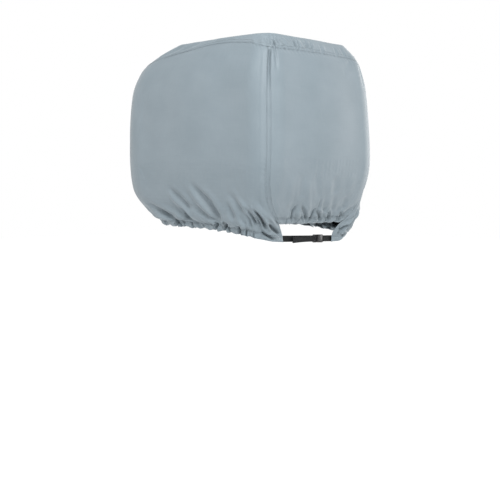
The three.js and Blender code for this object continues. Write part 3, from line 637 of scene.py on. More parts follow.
def tucks_of(panel):
    """The starboard tucks are shifted a little and lean the other way."""
    if panel == "aft":
        return AFT_TUCKS
    if panel == "port":
        return PORT_TUCKS
    return [
        row._replace(
            share=min(row.share + 0.04 * (golden(2 * n + 1) - 0.5), 0.965),
            depth=row.depth * (0.8 + 0.4 * golden(3 * n)),
            lean=-row.lean,
        )
        for n, row in enumerate(PORT_TUCKS)
    ]


def stitch_level(panel, share):
    """Depth of the line along which the hem is stitched."""
    return level(panel, "edge", share) - HEM_HEIGHT


def drawn_in(panel, share, down, deep):
    """How deep the broad gathers lie below the smooth shape, fading as they rise."""
    stitch = stitch_level(panel, share)
    above = stitch - down
    reach = reach_of(panel, share)
    depth = np.zeros(np.broadcast(share, down).shape)
    for row in gathers_of(panel):
        rise = np.clip(above / row.rise, 0, 1)
        width = row.width * (1 + GATHER_SPREAD * rise)
        part = HEM_PART + (1 - HEM_PART) * smooth(0, GATHER_FULL, above)
        fade = (1 - smooth(GATHER_FADE, 1, rise)) * part
        off = (reach - reach_of(panel, row.share)) / width
        depth -= row.depth * fade * np.exp(-off ** 2)
    drawn = BLOUSE[panel] * bell((above - BLOUSE_MIDDLE) / BLOUSE_HALF)
    drawn = drawn - ELASTIC_DRAW[panel] * (1 - smooth(*DRAW_SPAN, above))
    first, last = AFT_ELASTIC if panel == "aft" else SIDE_ELASTIC
    elastic = smooth(*first, reach) * smooth(*last, width_of(panel) - reach)
    return deep * depth * quiet(panel, reach) + drawn * elastic


def quiet(panel, reach):
    """Folds die out beside a seam."""
    return smooth(0, SEAM_CALM, reach) * smooth(0, SEAM_CALM, width_of(panel) - reach)


def row_level(panel, share, row):
    """Depths at rows: 0 to 1 from the top seam to the stitch line, 1 to 2 down the hem."""
    top = level(panel, "top", share)
    stitch = stitch_level(panel, share)
    return np.where(row <= 1, top + (stitch - top) * row, stitch + HEM_HEIGHT * (row - 1))


def gather_scale(panel):
    """How deep the gathers must be for the hem to take up its spare cloth."""
    share = share_at(panel, np.linspace(0, width_of(panel), 1600))
    down = stitch_level(panel, share)
    point, normal, _, _ = lay(panel, share, down)
    target = run_of(point)[-1] * (1 + SPARE[panel])
    low, high = 0.2, 5.0
    for _ in range(20):
        deep = (low + high) / 2
        depth = drawn_in(panel, share, down, deep)
        long = run_of(point + normal * depth[:, None])[-1] > target
        low, high = (low, deep) if long else (deep, high)
    return deep


def slid_shares(panel, share, deep):
    """Shares moved along the hem so that the cloth is spread evenly over the gathers."""
    fine = share_at(panel, np.linspace(0, width_of(panel), 3000))
    down = stitch_level(panel, fine)
    point, normal, _, _ = lay(panel, fine, down)
    plain = run_of(point)
    drawn = run_of(point + normal * drawn_in(panel, fine, down, deep)[:, None])
    there = np.interp(share, fine, plain / plain[-1])
    return np.interp(there, drawn / drawn[-1], fine)


def settle(panel, deep):
    """Lets the skirt above a gathered hem find its folds; gives how far each place moved."""
    width = width_of(panel)
    reach = np.linspace(0, width, int(width / SKIRT_STEP))
    share = share_at(panel, reach)
    rows = np.concatenate([np.linspace(SKIRT_TOP, 1, SKIRT_GRID_ROWS), HEM_GRID_ROWS])
    row, shares = np.meshgrid(rows, share, indexing="ij")
    down = row_level(panel, shares, row)
    plain, _, along, _ = lay(panel, shares, down)
    slid = slid_shares(panel, share, deep) - share
    fade = 1 - smooth(0, SLIDE_HEIGHT, np.maximum(stitch_level(panel, share) - down, 0))
    moved = shares + slid * fade
    down_moved = row_level(panel, moved, row)
    point, normal, _, _ = lay(panel, moved, down_moved)
    start = point + normal * drawn_in(panel, moved, down_moved, deep)[..., None]
    spare = SPARE[panel] * smooth(SKIRT_TOP, 1, np.minimum(row, 1))
    cut = plain + along * ((reach - width / 2) * spare)[..., None]
    fall = np.linalg.norm(np.diff(plain, axis=0), axis=-1)
    slant = np.linalg.norm(np.diff(cut[..., :2], axis=0), axis=-1)
    drop = np.sqrt(np.maximum(fall ** 2 - slant ** 2, (0.3 * fall) ** 2))
    cut[1:, :, 2] = plain[:1, :, 2] - np.cumsum(drop, axis=0)
    edges = np.minimum(reach, width - reach)
    held = np.maximum(1 - smooth(SKIRT_TOP, SKIRT_TOP + HELD_BAND, row), (row >= 0.999) * 1.0)
    held = np.maximum(held, 1 - smooth(0, HELD_EDGE, edges)[None, :])
    return rows, reach, hang_in_cloth(panel + "_skirt", start, cut, held) - plain


def hang_in_cloth(name, start, cut, held):
    """Runs Blender's cloth on a grid from its start, with the cut as its rest shape."""
    faces = grid_faces(*held.shape)
    skirt = new_piece(name, start.reshape(-1, 3), faces.tolist())
    skirt.shape_key_add(name="hung")
    rest = skirt.shape_key_add(name="cut")
    rest.data.foreach_set("co", (cut * MM).ravel())
    pins = skirt.vertex_groups.new(name="pins")
    for index, weight in enumerate(held.ravel()):
        if weight > 0.001:
            pins.add([index], float(weight), "REPLACE")
    modifier = skirt.modifiers.new("settle", "CLOTH")
    settings = modifier.settings
    settings.quality = 7
    settings.mass = 0.05
    settings.tension_stiffness = 40
    settings.compression_stiffness = 40
    settings.shear_stiffness = 10
    settings.bending_stiffness = 0.6
    settings.air_damping = 2
    settings.effector_weights.gravity = 0.2
    settings.vertex_group_mass = "pins"
    settings.pin_stiffness = 5
    settings.rest_shape_key = rest
    modifier.collision_settings.use_collision = False
    modifier.point_cache.frame_start = 1
    modifier.point_cache.frame_end = SETTLE_FRAMES + 1
    for number in range(1, SETTLE_FRAMES + 1):
        bpy.context.scene.frame_set(number)
    shown = skirt.evaluated_get(bpy.context.evaluated_depsgraph_get())
    settled = np.empty(held.size * 3)
    shown.data.vertices.foreach_get("co", settled)
    bpy.data.objects.remove(skirt)
    bpy.context.scene.frame_set(1)
    return settled.reshape(*held.shape, 3) / MM


# How creases and tucks are pressed in: their lips, as a share of their depth, the parts of
# their length over which they rise and die away, the step between a crease's places, and
# a tuck's width and depth at head and foot, as shares of its row's. A tuck's foot lies
# just below the hem's edge, and its head its rise above this part of the hem's height.
# Its lean is taken round the plan, where a station is about this wide.
CREASE_LIP = 0.2
BROAD_CREASE = 12
CREASE_ENDS = (0.35, 0.2)
CREASE_STEP = 5
TUCK_LIP = 0.12
TUCK_ENDS = (0.3, 0.22)
TUCK_WIDTHS = (0.8, 0.75)
TUCK_DEPTHS = (1.3, 1.9)
TUCK_BELOW = 2
TUCK_PART = 0.7
STATION_SPAN = 130

# How far out a fold is looked for and how wide its bell is, in half-widths, and its lip's
# place and width, in bells.
FOLD_PAD = 3.4
FOLD_SPREAD = 1.6
LIP_AWAY = 1.2
LIP_SPREAD = 0.8


def crease_path(panel, line):
    """A crease's line on the smooth cover, as a smooth run of places."""
    share, down = np.array(line, float).T
    places = lay(panel, share, down)[0]
    run = run_of(places)
    count = max(8, int(run[-1] / CREASE_STEP))
    return through(run, places, np.linspace(0, run[-1], count))


def tuck_path(panel, tuck):
    """A tuck runs straight down the outside of the hem, whatever way the seams slant."""
    share = np.array(tuck.share)
    foot = level(panel, "edge", share) + TUCK_BELOW
    head = foot - tuck.rise - HEM_HEIGHT * TUCK_PART
    t = np.linspace(0, 1, 9)
    down = head + (foot - head) * t
    station = station_of(panel, share, foot)
    lean = tuck.lean * (1 - t) / STATION_SPAN * SIDES.get(panel, -1)
    return outline(station + lean, down)


def press(heights, places, line, width, height, ends, lip):
    """Adds a trough or ridge along a line, with a lip each side, to the heights at places."""
    pad = FOLD_PAD * max(width)
    flat = places.reshape(-1, 3)
    low, high = line.min(axis=0) - pad, line.max(axis=0) + pad
    near = np.nonzero(np.all((flat > low) & (flat < high), axis=1))[0]
    step = np.diff(line, axis=0)
    offset = flat[near][:, None] - line[None, :-1]
    t = np.sum(offset * step, axis=-1) / np.sum(step * step, axis=-1)
    t = np.clip(t, 0, 1)
    away = np.linalg.norm(offset - step * t[..., None], axis=-1)
    nearest = np.argmin(away, axis=1)
    pick = np.arange(len(near)), nearest
    along = (nearest + t[pick]) / len(step)
    reach = width[0] + (width[1] - width[0]) * along
    size = height[0] + (height[1] - height[0]) * along
    size = size * smooth(0, ends[0], along) * (1 - smooth(1 - ends[1], 1, along))
    off = away[pick] / (FOLD_SPREAD * reach)
    heights.reshape(-1)[near] += size * (bell(off) - lip * bell((off - LIP_AWAY) / LIP_SPREAD))


def folded(places, creases):
    """Heights of a table of creases, in rows for each panel; broad ones have no lips."""
    heights = np.zeros(places.shape[:-1])
    for panel, rows in creases.items():
        for row in rows:
            lip = CREASE_LIP if max(row.width) < BROAD_CREASE else 0
            path = crease_path(panel, row.line)
            press(heights, places, path, row.width, row.height, CREASE_ENDS, lip)
    return heights


def tucked(panel, places):
    """Heights of the tucks at a hem, which are deepest at its edge."""
    heights = np.zeros(places.shape[:-1])
    for row in tucks_of(panel):
        width = [row.width * share for share in TUCK_WIDTHS]
        height = [-row.depth * share for share in TUCK_DEPTHS]
        press(heights, places, tuck_path(panel, row), width, height, TUCK_ENDS, TUCK_LIP)
    return heights


def lap_rise(reach):
    """How far a lapped edge stands off, with a dent along each row of thread."""
    rise = LAP_RISE * (1 - smooth(LAP_WIDTH, LAP_END, reach))
    for row in THREAD_ROWS:
        rise = rise - THREAD_DENT * bell((reach - row) / DENT_HALF)
    return rise


def seam_pucker(run, away, seed):
    """Small uneven puckers across a row of thread, fading away from it."""
    fade = np.exp(-(away / PUCKER_FADE) ** 2)
    return PUCKER_HEIGHT * fade * ripple(run + 0.3 * away, PUCKER_SPACING, seed)


def grid_faces(rows, columns, closed=False):
    """Faces between the places of a grid, as the numbers of their four corners."""
    at = np.arange(rows * columns).reshape(rows, columns)
    if closed:
        at = np.concatenate([at, at[:, :1]], axis=1)
    corners = [at[:-1, :-1], at[1:, :-1], at[1:, 1:], at[:-1, 1:]]
    return np.stack(corners, axis=-1).reshape(-1, 4)


def new_piece(name, vertices, faces, materials=()):
    """A smooth mesh object from places in millimetres."""
    mesh = bpy.data.meshes.new(name)
    mesh.from_pydata((np.asarray(vertices) * MM).tolist(), [], faces)
    mesh.polygons.foreach_set("use_smooth", [True] * len(mesh.polygons))
    mesh.update()
    for material in materials:
        mesh.materials.append(material)
    piece = bpy.data.objects.new(name, mesh)
    bpy.context.collection.objects.link(piece)
    return piece


def grid_normals(grid, closed=False):
    """Unit normals of a grid of places."""
    wide = grid
    if closed:
        wide = np.concatenate([grid[:, -1:], grid, grid[:, :1]], axis=1)
    along = np.gradient(wide, axis=1)
    if closed:
        along = along[:, 1:-1]
    return unit(np.cross(along, np.gradient(grid, axis=0)))


def facing(normals, rough):
    """Normals turned to the side that rough directions at their first rows point to."""
    astray = np.mean(np.sum(normals[:len(rough)] * rough, axis=-1)) < 0
    return -normals if astray else normals


def between(rows, index):
    """Places part of the way from one row of a grid to the next."""
    low = int(index)
    t = index - low
    return rows[low] * (1 - t) + rows[low + 1] * t


def sew_sheet(name, grid, cut, outward, closed=False, middle=None):
    """A closed thin sheet round a grid: face, coated back and the rim between them; the back's near-black
    colour is painted shade.

    The cut gives each place's distances along and down the cloth, for its weave, and
    outward is a rough direction for the face at each place of the first rows.
    """
    rows, columns = grid.shape[:2]
    normals = facing(grid_normals(grid, closed), outward)
    count = rows * columns
    face = grid + normals * CLOTH / 2
    back = grid - normals * CLOTH / 2
    vertices = [face.reshape(-1, 3), back.reshape(-1, 3)]
    quads = grid_faces(rows, columns, closed)
    at = np.arange(count).reshape(rows, columns)
    ring = [at[0], at[-1][::-1]] if middle is None else [at[0]]
    if closed:
        ring = [np.append(part, part[0]) for part in ring]
    else:
        ring += [at[::-1, 0], at[:, -1]]
    rims = [
        np.stack([part[:-1], part[1:], part[1:] + count, part[:-1] + count], axis=-1)
        for part in ring
    ]
    faces = [quads, quads[:, ::-1] + count] + rims
    polygons = np.concatenate(faces).tolist()
    backs = [0] * len(quads) + [1] * len(quads) + [0] * sum(len(part) for part in rims)
    cuts = [cut.reshape(-1, 2), cut.reshape(-1, 2)]
    if middle is not None:
        lift = np.array([0, 0, CLOTH / 2])
        vertices.append(np.stack([middle + lift, middle - lift]))
        cuts.append(np.zeros((2, 2)))
        last = np.append(at[-1], at[-1][0])
        polygons += [[a, 2 * count, b] for a, b in zip(last[:-1].tolist(), last[1:].tolist())]
        polygons += [
            [b + count, 2 * count + 1, a + count]
            for a, b in zip(last[:-1].tolist(), last[1:].tolist())
        ]
        backs += [0] * columns + [1] * columns
    piece = new_piece(name, np.concatenate(vertices), polygons, (cloth_face, cloth_back_painted_shade))
    piece.data.polygons.foreach_set("material_index", backs)
    wale = piece.data.attributes.new("cut", "FLOAT_VECTOR", "POINT")
    flat = np.concatenate(cuts) * MM
    wale.data.foreach_set("vector", np.column_stack([flat, np.zeros(len(flat))]).ravel())
    tidy_normals(piece)
    return piece, face


def tidy_normals(piece):
    """Turns every face the same way round, outward on the closed sheet."""
    work = bmesh.new()
    work.from_mesh(piece.data)
    bmesh.ops.recalc_face_normals(work, faces=work.faces)
    work.to_mesh(piece.data)
    work.free()


# Columns of the panels, in millimetres. On a side they are closer together on the ear and
# within a distance of each tuck.
COARSE_STEP = 4.8
FINE_STEP = 1.95
AFT_STEP = 2.0
TOP_AFT_STEP = 1.9
FINE_EAR = (120, 150)
FINE_TUCK = 16


def panel_columns(panel):
    """Distances of a panel's columns from its first seam, with the cloth under a lap."""
    width = width_of(panel)
    seam = np.array(NEAR_SEAM, float)
    inner = np.linspace(seam[-1], width - seam[-1], 4000)
    close = 1 - smooth(*FINE_EAR, inner)
    for row in tucks_of(panel):
        close = np.maximum(close, bell((inner - reach_of(panel, row.share)) / FINE_TUCK))
    step = AFT_STEP if panel == "aft" else COARSE_STEP + (FINE_STEP - COARSE_STEP) * close
    number = np.cumsum(1 / np.broadcast_to(step, inner.shape)) * (inner[1] - inner[0])
    inner = np.interp(np.arange(1, int(number[-1])), number, inner)
    return np.concatenate([seam, inner, width - seam[::-1]])


def panel_depths(panel, share):
    """Depths of a panel's rows, and the rows that the settled skirt knows them by."""
    top = level(panel, "top", share)
    seam = np.array(NEAR_SEAM)[:, None]
    under = -np.array(UNDERLAP)[:, None]
    skirt = top + (stitch_level(panel, share) - top) * SKIRT_TOP
    start = top + seam[-1]
    upper = start + (skirt - start) * np.linspace(0, 1, UPPER_ROWS)[1:, None]
    rows = np.concatenate([
        np.linspace(SKIRT_TOP, 1, SKIRT_ROWS)[1:],
        np.linspace(1, 2, HEM_ROWS + 1)[1:],
    ])
    lower = row_level(panel, share[None, :], rows[:, None])
    down = np.concatenate([top + under, top + seam, upper, lower])
    return down, rows


def hem_return(grid, normals, falls, gap):
    """The hem's cloth turned up inside: round the edge, then back up to the stitch line."""
    edge, out, fall = grid[-1], normals[-1], falls[-1]
    radius = gap[-1][:, None] / 2
    arc = [
        edge + fall * radius * math.sin(turn) - out * radius * (1 - math.cos(turn))
        for turn in (0.25 * math.pi, 0.5 * math.pi, 0.75 * math.pi)
    ]
    back = grid[-1:-HEM_ROWS - 1:-1] - normals[-1:-HEM_ROWS - 1:-1] * gap[::-1][..., None]
    return np.concatenate([arc, back])


def cut_panel(panel):
    """Places of a side or aft panel from its top seam to its hem's edge, with their normals."""
    reach = panel_columns(panel)
    shares = share_at(panel, reach)
    down, rows = panel_depths(panel, shares)
    share = np.broadcast_to(shares, down.shape)
    point, normal, _, fall = lay(panel, share, down)
    skirt = len(down) - len(rows)
    deep = gather_scale(panel)
    moved = np.zeros_like(point)
    known_rows, known_reach, settled = settle(panel, deep)
    settled = through(known_rows, settled, rows)
    settled = through(known_reach, settled.transpose(1, 0, 2), reach).transpose(1, 0, 2)
    moved[skirt:] = settled
    across = np.broadcast_to(reach, down.shape)
    heights = folded(point, {panel: CREASES[panel]}) * ear_quiet(panel, across, down)
    heights += tucked(panel, point) * quiet(panel, across)
    stitch = stitch_level(panel, share)
    heights += hem_shape(panel, across, down - stitch)
    heights = clear_of_strap(panel, heights, across, down)
    heights += seam_shape(panel, across, down, down - level(panel, "top", share))
    place = point + moved + normal * (FACE + heights)[..., None]
    place[..., 2] += hem_wave(panel, across, down - stitch)
    return reach, down, place, normal, fall


# Depths over which an ear's edge comes free of the seam, and the part of its folds' height
# that reaches that edge.
EAR_FREE = (NOTCH_DOWN + 4, NOTCH_DOWN + 18)
EAR_FOLDS = 0.45


def ear_quiet(panel, reach, down):
    """Folds die out beside a seam, but run on to the free edge of an ear."""
    still = quiet(panel, reach)
    if panel == "aft":
        return still
    free = smooth(*EAR_FREE, down)
    return still + (EAR_FOLDS * (1 - still)) * free * (reach < NEAR_CORNER)


# Small waves along the hem: the height and spacing of their crests, the level below the
# stitch line where they are highest, and how fast they die away from it.
Wave = namedtuple("Wave", "height spacing below fade")
CRINKLE = Wave(0.9, 9, 0, 9)
RUFFLE = Wave(1.8, 23, 5, 18)
AFT_WAVES = 0.35

# The hem's section: a dent along each row of thread and the soft roll below them, by the
# level below the stitch line, the height and the half-width of each.
Swell = namedtuple("Swell", "below height half")
HEM_SECTION = [Swell(0, -3.2, 3.6), Swell(4, -1, 2.2), Swell(12, 2.2, 9)]


def hem_shape(panel, reach, below):
    """Crinkles on the stitch line and the soft roll of the hem below it."""
    waves = 0
    for seed, wave in ((2 + len(panel), CRINKLE), (1 + len(panel), RUFFLE)):
        fade = np.exp(-np.abs(below - wave.below) / wave.fade)
        waves = waves + wave.height * fade * ripple(reach, wave.spacing, seed)
    section = sum(row.height * bell((below - row.below) / row.half) for row in HEM_SECTION)
    calm = quiet(panel, reach) * (AFT_WAVES if panel == "aft" else 1)
    return waves * calm + section * smooth(0, 8, reach)


EDGE_WAVE = {"port": 1.6, "starboard": 1.6, "aft": 0.7}
EDGE_SPACING = 46


def hem_wave(panel, reach, below):
    """The hem's edge wanders a little up and down."""
    wave = EDGE_WAVE[panel] * ripple(reach, EDGE_SPACING, len(panel))
    return wave * smooth(-10, HEM_HEIGHT, below) * quiet(panel, reach)


# The strap: its depth at the port ear, its fall to the starboard one, and how far round
# its end and above and below its middle the ear's cloth is kept clear of it.
STRAP_DOWN = 642
STRAP_FALL = 6.5
STRAP_CLEAR = (26, 40)
STRAP_BAND = (11, 16)
STRAP_DENT = 0.3


def clear_of_strap(panel, heights, reach, down):
    """Where the strap's end is sewn inside an ear, the ear's cloth isn't pressed in."""
    if panel == "aft":
        return heights
    near = 1 - smooth(*STRAP_CLEAR, reach)
    near = near * (1 - smooth(*STRAP_BAND, np.abs(down - strap_down(panel))))
    return heights + near * (np.maximum(heights, -STRAP_DENT) - heights)


# The sunk lap of a corner seam: its depth low down, the depth added near the top and
# where that ends, where the whole ends above the notch and starts below the top's seam,
# and its middle and half-width from the seam line.
CHANNEL_DEPTH = 2.6
CHANNEL_MORE = 6.5
CHANNEL_FADE = (90, 240)
CHANNEL_END = (NOTCH_DOWN - 50, NOTCH_DOWN - 10)
CHANNEL_START = (0, 14)
CHANNEL_MIDDLE = 6.3
CHANNEL_HALF = 6.4


def seam_channel(away, down):
    """The lap of a corner seam is sunk between its rows of thread, deepest near the top."""
    deep = CHANNEL_DEPTH + CHANNEL_MORE * (1 - smooth(*CHANNEL_FADE, down))
    deep = deep * (1 - smooth(*CHANNEL_END, down))
    return deep * bell((away - CHANNEL_MIDDLE) / CHANNEL_HALF)


def top_valley(panel, reach):
    """How far the top's seam is drawn in; the panels agree where they meet."""
    least = TOP_VALLEY["port"]
    side = np.minimum(reach, width_of(panel) - reach)
    return least + (TOP_VALLEY[panel] - least) * smooth(5, 45, side)


# Where a corner seam's valley and ridge start, below the top's seam, and where they end.
CORNER_START = (6, 30)
CORNER_END = (NOTCH_DOWN - 30, NOTCH_DOWN + 10)


def seam_shape(panel, reach, down, below_top):
    """Raised laps, thread dents and puckers along a panel's seams."""
    width = width_of(panel)
    shape = seam_pucker(reach, np.maximum(below_top, 0), 3) * smooth(-2, 2, below_top)
    shape = shape - top_valley(panel, reach) * bell(below_top / VALLEY_WIDTH)
    below_notch = smooth(*CORNER_END, down)
    for away, seed in ((reach, 5), (width - reach, 6)):
        shape = shape + seam_pucker(down, away, seed)
        seam = SEAM_RIDGE * bell((away - SEAM_RIDGE_AWAY) / SEAM_RIDGE_HALF)
        seam = seam - SEAM_VALLEY * bell(away / SEAM_VALLEY_HALF)
        shape = shape + seam * (1 - below_notch) * smooth(*CORNER_START, below_top)
    if panel == "aft":
        side = np.minimum(reach, width - reach)
        sunk = seam_channel(side, down) * smooth(*CHANNEL_START, below_top)
        return shape + lap_rise(side) - sunk
    if panel == "port":
        return shape + lap_rise(width - reach)
    return shape


def sew_panel(panel):
    """A side or aft panel: its cloth with the hem and the underlaps, and its thread."""
    reach, down, place, normal, fall = cut_panel(panel)
    across = np.broadcast_to(reach, down.shape)
    gap = np.full((HEM_ROWS, len(reach)), HEM_GAP)
    if panel != "aft":
        gap = EAR_GAP + (HEM_GAP - EAR_GAP) * smooth(EAR_FLAT, EAR_FLAT + 30, across[-HEM_ROWS:])
    pinch = 0.4 + 0.6 * smooth(0, 0.4, np.linspace(0, 1, HEM_ROWS))[:, None]
    face_normal = facing(grid_normals(place), normal)
    turned = hem_return(place, face_normal, fall, np.maximum(gap * pinch, CLOTH + 0.15))
    grid = np.concatenate([place, turned])
    arc = len(turned) - HEM_ROWS
    depth, outward = (
        np.concatenate([values, np.repeat(values[-1:], arc, axis=0), values[:-HEM_ROWS - 1:-1]])
        for values in (down, normal)
    )
    reaches = reach
    if panel != "aft":
        grid, reaches = add_underlap(grid, reaches, depth, outward, len(place), start=True)
    if panel == "starboard":
        grid, reaches = add_underlap(grid, reaches, depth, outward, len(place), start=False)
    cut = cut_sizes(grid, reaches)
    rough = np.zeros_like(grid[:len(place)])
    rough[:, :] = normal[:, :1]
    lead = len(UNDERLAP) if panel != "aft" else 0
    rough[:, lead:lead + len(reach)] = normal
    piece, face = sew_sheet(panel + "_cloth", grid, cut, rough)
    threads = panel_threads(panel, face[:, lead:lead + len(reach)], reach, len(place))
    finish(piece, panel + "_panel", threads)


def cut_sizes(grid, reaches):
    """Distances along and down the cloth, for the weave."""
    down = run_of(grid)
    return np.stack([np.broadcast_to(reaches, down.shape), down], axis=-1)


# The flap beside an ear: the depths over which it swings from under the lap to inside the
# ear, its gap there, and how its width runs out toward the hem's corner.
FLAP_SWING = (570, 592)
FLAP_GAP = 1.3
MITRE = (2, 11)
MITRE_LEAST = 0.15


def add_underlap(grid, reaches, depth, outward, main_rows, start):
    """Cloth beyond a seam line: flat under the lap, or turned in along an ear's free edge."""
    if not start:
        grid, outward = grid[:, ::-1], outward[:, ::-1]
    edge = grid[:, 0]
    along = unit(grid[:, 3] - grid[:, 0])
    out = outward[:, 0]
    turn = np.zeros(len(grid))
    mitre = np.ones(len(grid))
    if start:
        turn = math.pi * smooth(*FLAP_SWING, depth[:, 0])
        last = depth[main_rows - 1, 0]
        mitre = MITRE_LEAST + (1 - MITRE_LEAST) * smooth(*MITRE, last - depth[:, 0])
        mitre[main_rows:] = MITRE_LEAST
    folded_in = (turn / math.pi)[:, None]
    columns = []
    known = np.linalg.norm(grid[:, :12] - edge[:, None], axis=-1)
    for wide in UNDERLAP:
        size = (wide * mitre)[:, None]
        swung = edge + (-along * np.cos(turn)[:, None] - out * np.sin(turn)[:, None]) * size
        swung = swung - out * seam_channel(wide, depth[:, 0])[:, None]
        beside = np.array([
            [np.interp(s, k, axis) for axis in row.T]
            for s, k, row in zip(size[:, 0], known, grid[:, :12])
        ])
        tucked_in = beside - out * FLAP_GAP * np.minimum(size, 1)
        columns.append(swung + folded_in * (tucked_in - (edge + along * size)))
    grid = np.concatenate([np.stack(columns, axis=1), grid], axis=1)
    if start:
        return grid, np.concatenate([-np.array(UNDERLAP), reaches])
    return grid[:, ::-1], np.concatenate([reaches, reaches[-1] + np.array(UNDERLAP)[::-1]])


# Stitches: their pitch, length and thickness, drawn a little bolder than real thread.
STITCH_PITCH = 5
STITCH_LENGTH = 3.7
STITCH_RADIUS = 0.5
HEM_THREAD_ROWS = (0, 4)


def stitch_row(line, away):
    """Stitches along a line of places: centres, directions and normals."""
    run = run_of(line)
    count = int(run[-1] / STITCH_PITCH)
    at = (np.arange(count) + 0.5) * run[-1] / count
    pick = lambda values, where: np.stack([np.interp(where, run, axis) for axis in values.T], -1)
    half = STITCH_LENGTH / 2
    ahead, behind = pick(line, at + half), pick(line, at - half)
    return pick(line, at), unit(ahead - behind), unit(pick(away, at))


def column_line(face, reach, normals, where, rows):
    """The line down a panel's face at a distance from its first seam."""
    index = np.interp(where, reach, np.arange(len(reach)))
    return tuple(between(grid[rows].swapaxes(0, 1), index) for grid in (face, normals))


def panel_threads(panel, face, reach, main_rows):
    """Rows of thread on a panel: along its lapped edges and along its hem."""
    face = face[:main_rows]
    inside = face.mean(axis=(0, 1)) * np.array([0, 0, 1])
    normals = facing(grid_normals(face), face - inside)
    width = width_of(panel)
    rows = slice(len(UNDERLAP), main_rows)
    laps = []
    if panel == "aft":
        laps = list(THREAD_ROWS) + [width - row for row in THREAD_ROWS]
    if panel == "port":
        laps = [width - row for row in THREAD_ROWS]
    lines = [column_line(face, reach, normals, lap, rows) for lap in laps]
    for below in HEM_THREAD_ROWS:
        row = main_rows - 1 - HEM_ROWS + below * HEM_ROWS / HEM_HEIGHT
        lines.append((between(face, row)[2:-2], normals[int(row), 2:-2]))
    return lines


def sew_threads(name, lines):
    """Rows of stitches as one piece, each stitch a short rounded grain of thread."""
    rings = [(-1, 0.15), (-0.72, 0.75), (0, 1), (0.72, 0.75), (1, 0.15)]
    sides = 6
    turns = np.arange(sides) * 2 * math.pi / sides
    template = np.array([
        (along * STITCH_LENGTH / 2, size * math.cos(turn), size * math.sin(turn))
        for along, size in rings for turn in turns
    ])
    quads = grid_faces(len(rings), sides, closed=True)
    caps = np.array([range(sides), range((len(rings) - 1) * sides, len(rings) * sides)])
    vertices, polygons = [], []
    total = 0
    for line, away in lines:
        centre, along, out = stitch_row(line, away)
        side = unit(np.cross(out, along))
        out = unit(np.cross(along, side))
        body = (
            centre[:, None]
            + along[:, None] * template[None, :, :1]
            + side[:, None] * template[None, :, 1:2] * STITCH_RADIUS
            + out[:, None] * (template[None, :, 2:] * STITCH_RADIUS * 0.8 + 0.12)
        )
        vertices.append(body.reshape(-1, 3))
        for n in range(len(centre)):
            base = total + n * len(template)
            polygons += (quads + base).tolist()
            polygons += (caps + base).tolist()
        total += len(centre) * len(template)
    piece = new_piece(name, np.concatenate(vertices), polygons, (bonded_thread,))
    tidy_normals(piece)
    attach(piece, "root")
    return piece


def finish(piece, node, threads):
    thread = sew_threads(piece.name.replace("cloth", "stitching"), threads)
    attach(piece, "root")
    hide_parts(node)


def corner_tip(station):
    """The rim rises to a blunt point over each aft corner."""
    off = np.abs(np.abs(station) - CORNER_SEAM[0].station - TIP_SHIFT) / TIP_REACH
    return CORNER_LIFT * np.maximum(1 - off, 0) - CORNER_DROP * bell(off / 1.8)


def top_columns():
    """Columns round the top, as panels and shares: starboard fore round to port fore."""
    order = []
    for panel, flip in (("starboard", True), ("aft", False), ("port", False)):
        width = width_of(panel)
        step = TOP_AFT_STEP if panel == "aft" else COARSE_STEP
        reach = np.linspace(0, width, int(width / step))
        shares = share_at(panel, reach)
        shares = shares[1:][::-1] if flip else shares
        order.append((panel, shares[1:-1] if panel == "port" else shares))
    return order


# Rings of the crown, the innermost one's size and how fast the tips die away inward, then
# rings of the shoulder, the distance from the seam past which its lap and puckers no
# longer show, and the reach that a side's first column has past a corner's lap.
CROWN_RINGS = 22
INNER_RING = 0.03
TIP_POWER = 6
SHOULDER_RINGS = 24
CLEAR_OF_SEAM = 60
CORNER_STEP = 9


def top_lift(panel, share, away):
    """The top's lapped edge, its valley and puckers, and its step over a corner seam's lap."""
    reach, width = reach_of(panel, share), width_of(panel)
    if panel == "aft":
        side = np.minimum(reach, width - reach)
    else:
        side = np.where(reach < NEAR_CORNER, reach + CORNER_STEP, width - reach)
    crossing = LAP_RISE * (1 - smooth(LAP_WIDTH, LAP_END + 5, side))
    lift = lap_rise(away) + crossing * (1 - smooth(LAP_WIDTH, LAP_END + 4, away))
    lift = lift - top_valley(panel, reach) * bell(away / VALLEY_WIDTH)
    return lift + 0.8 * seam_pucker(reach[None, :], away, 4)


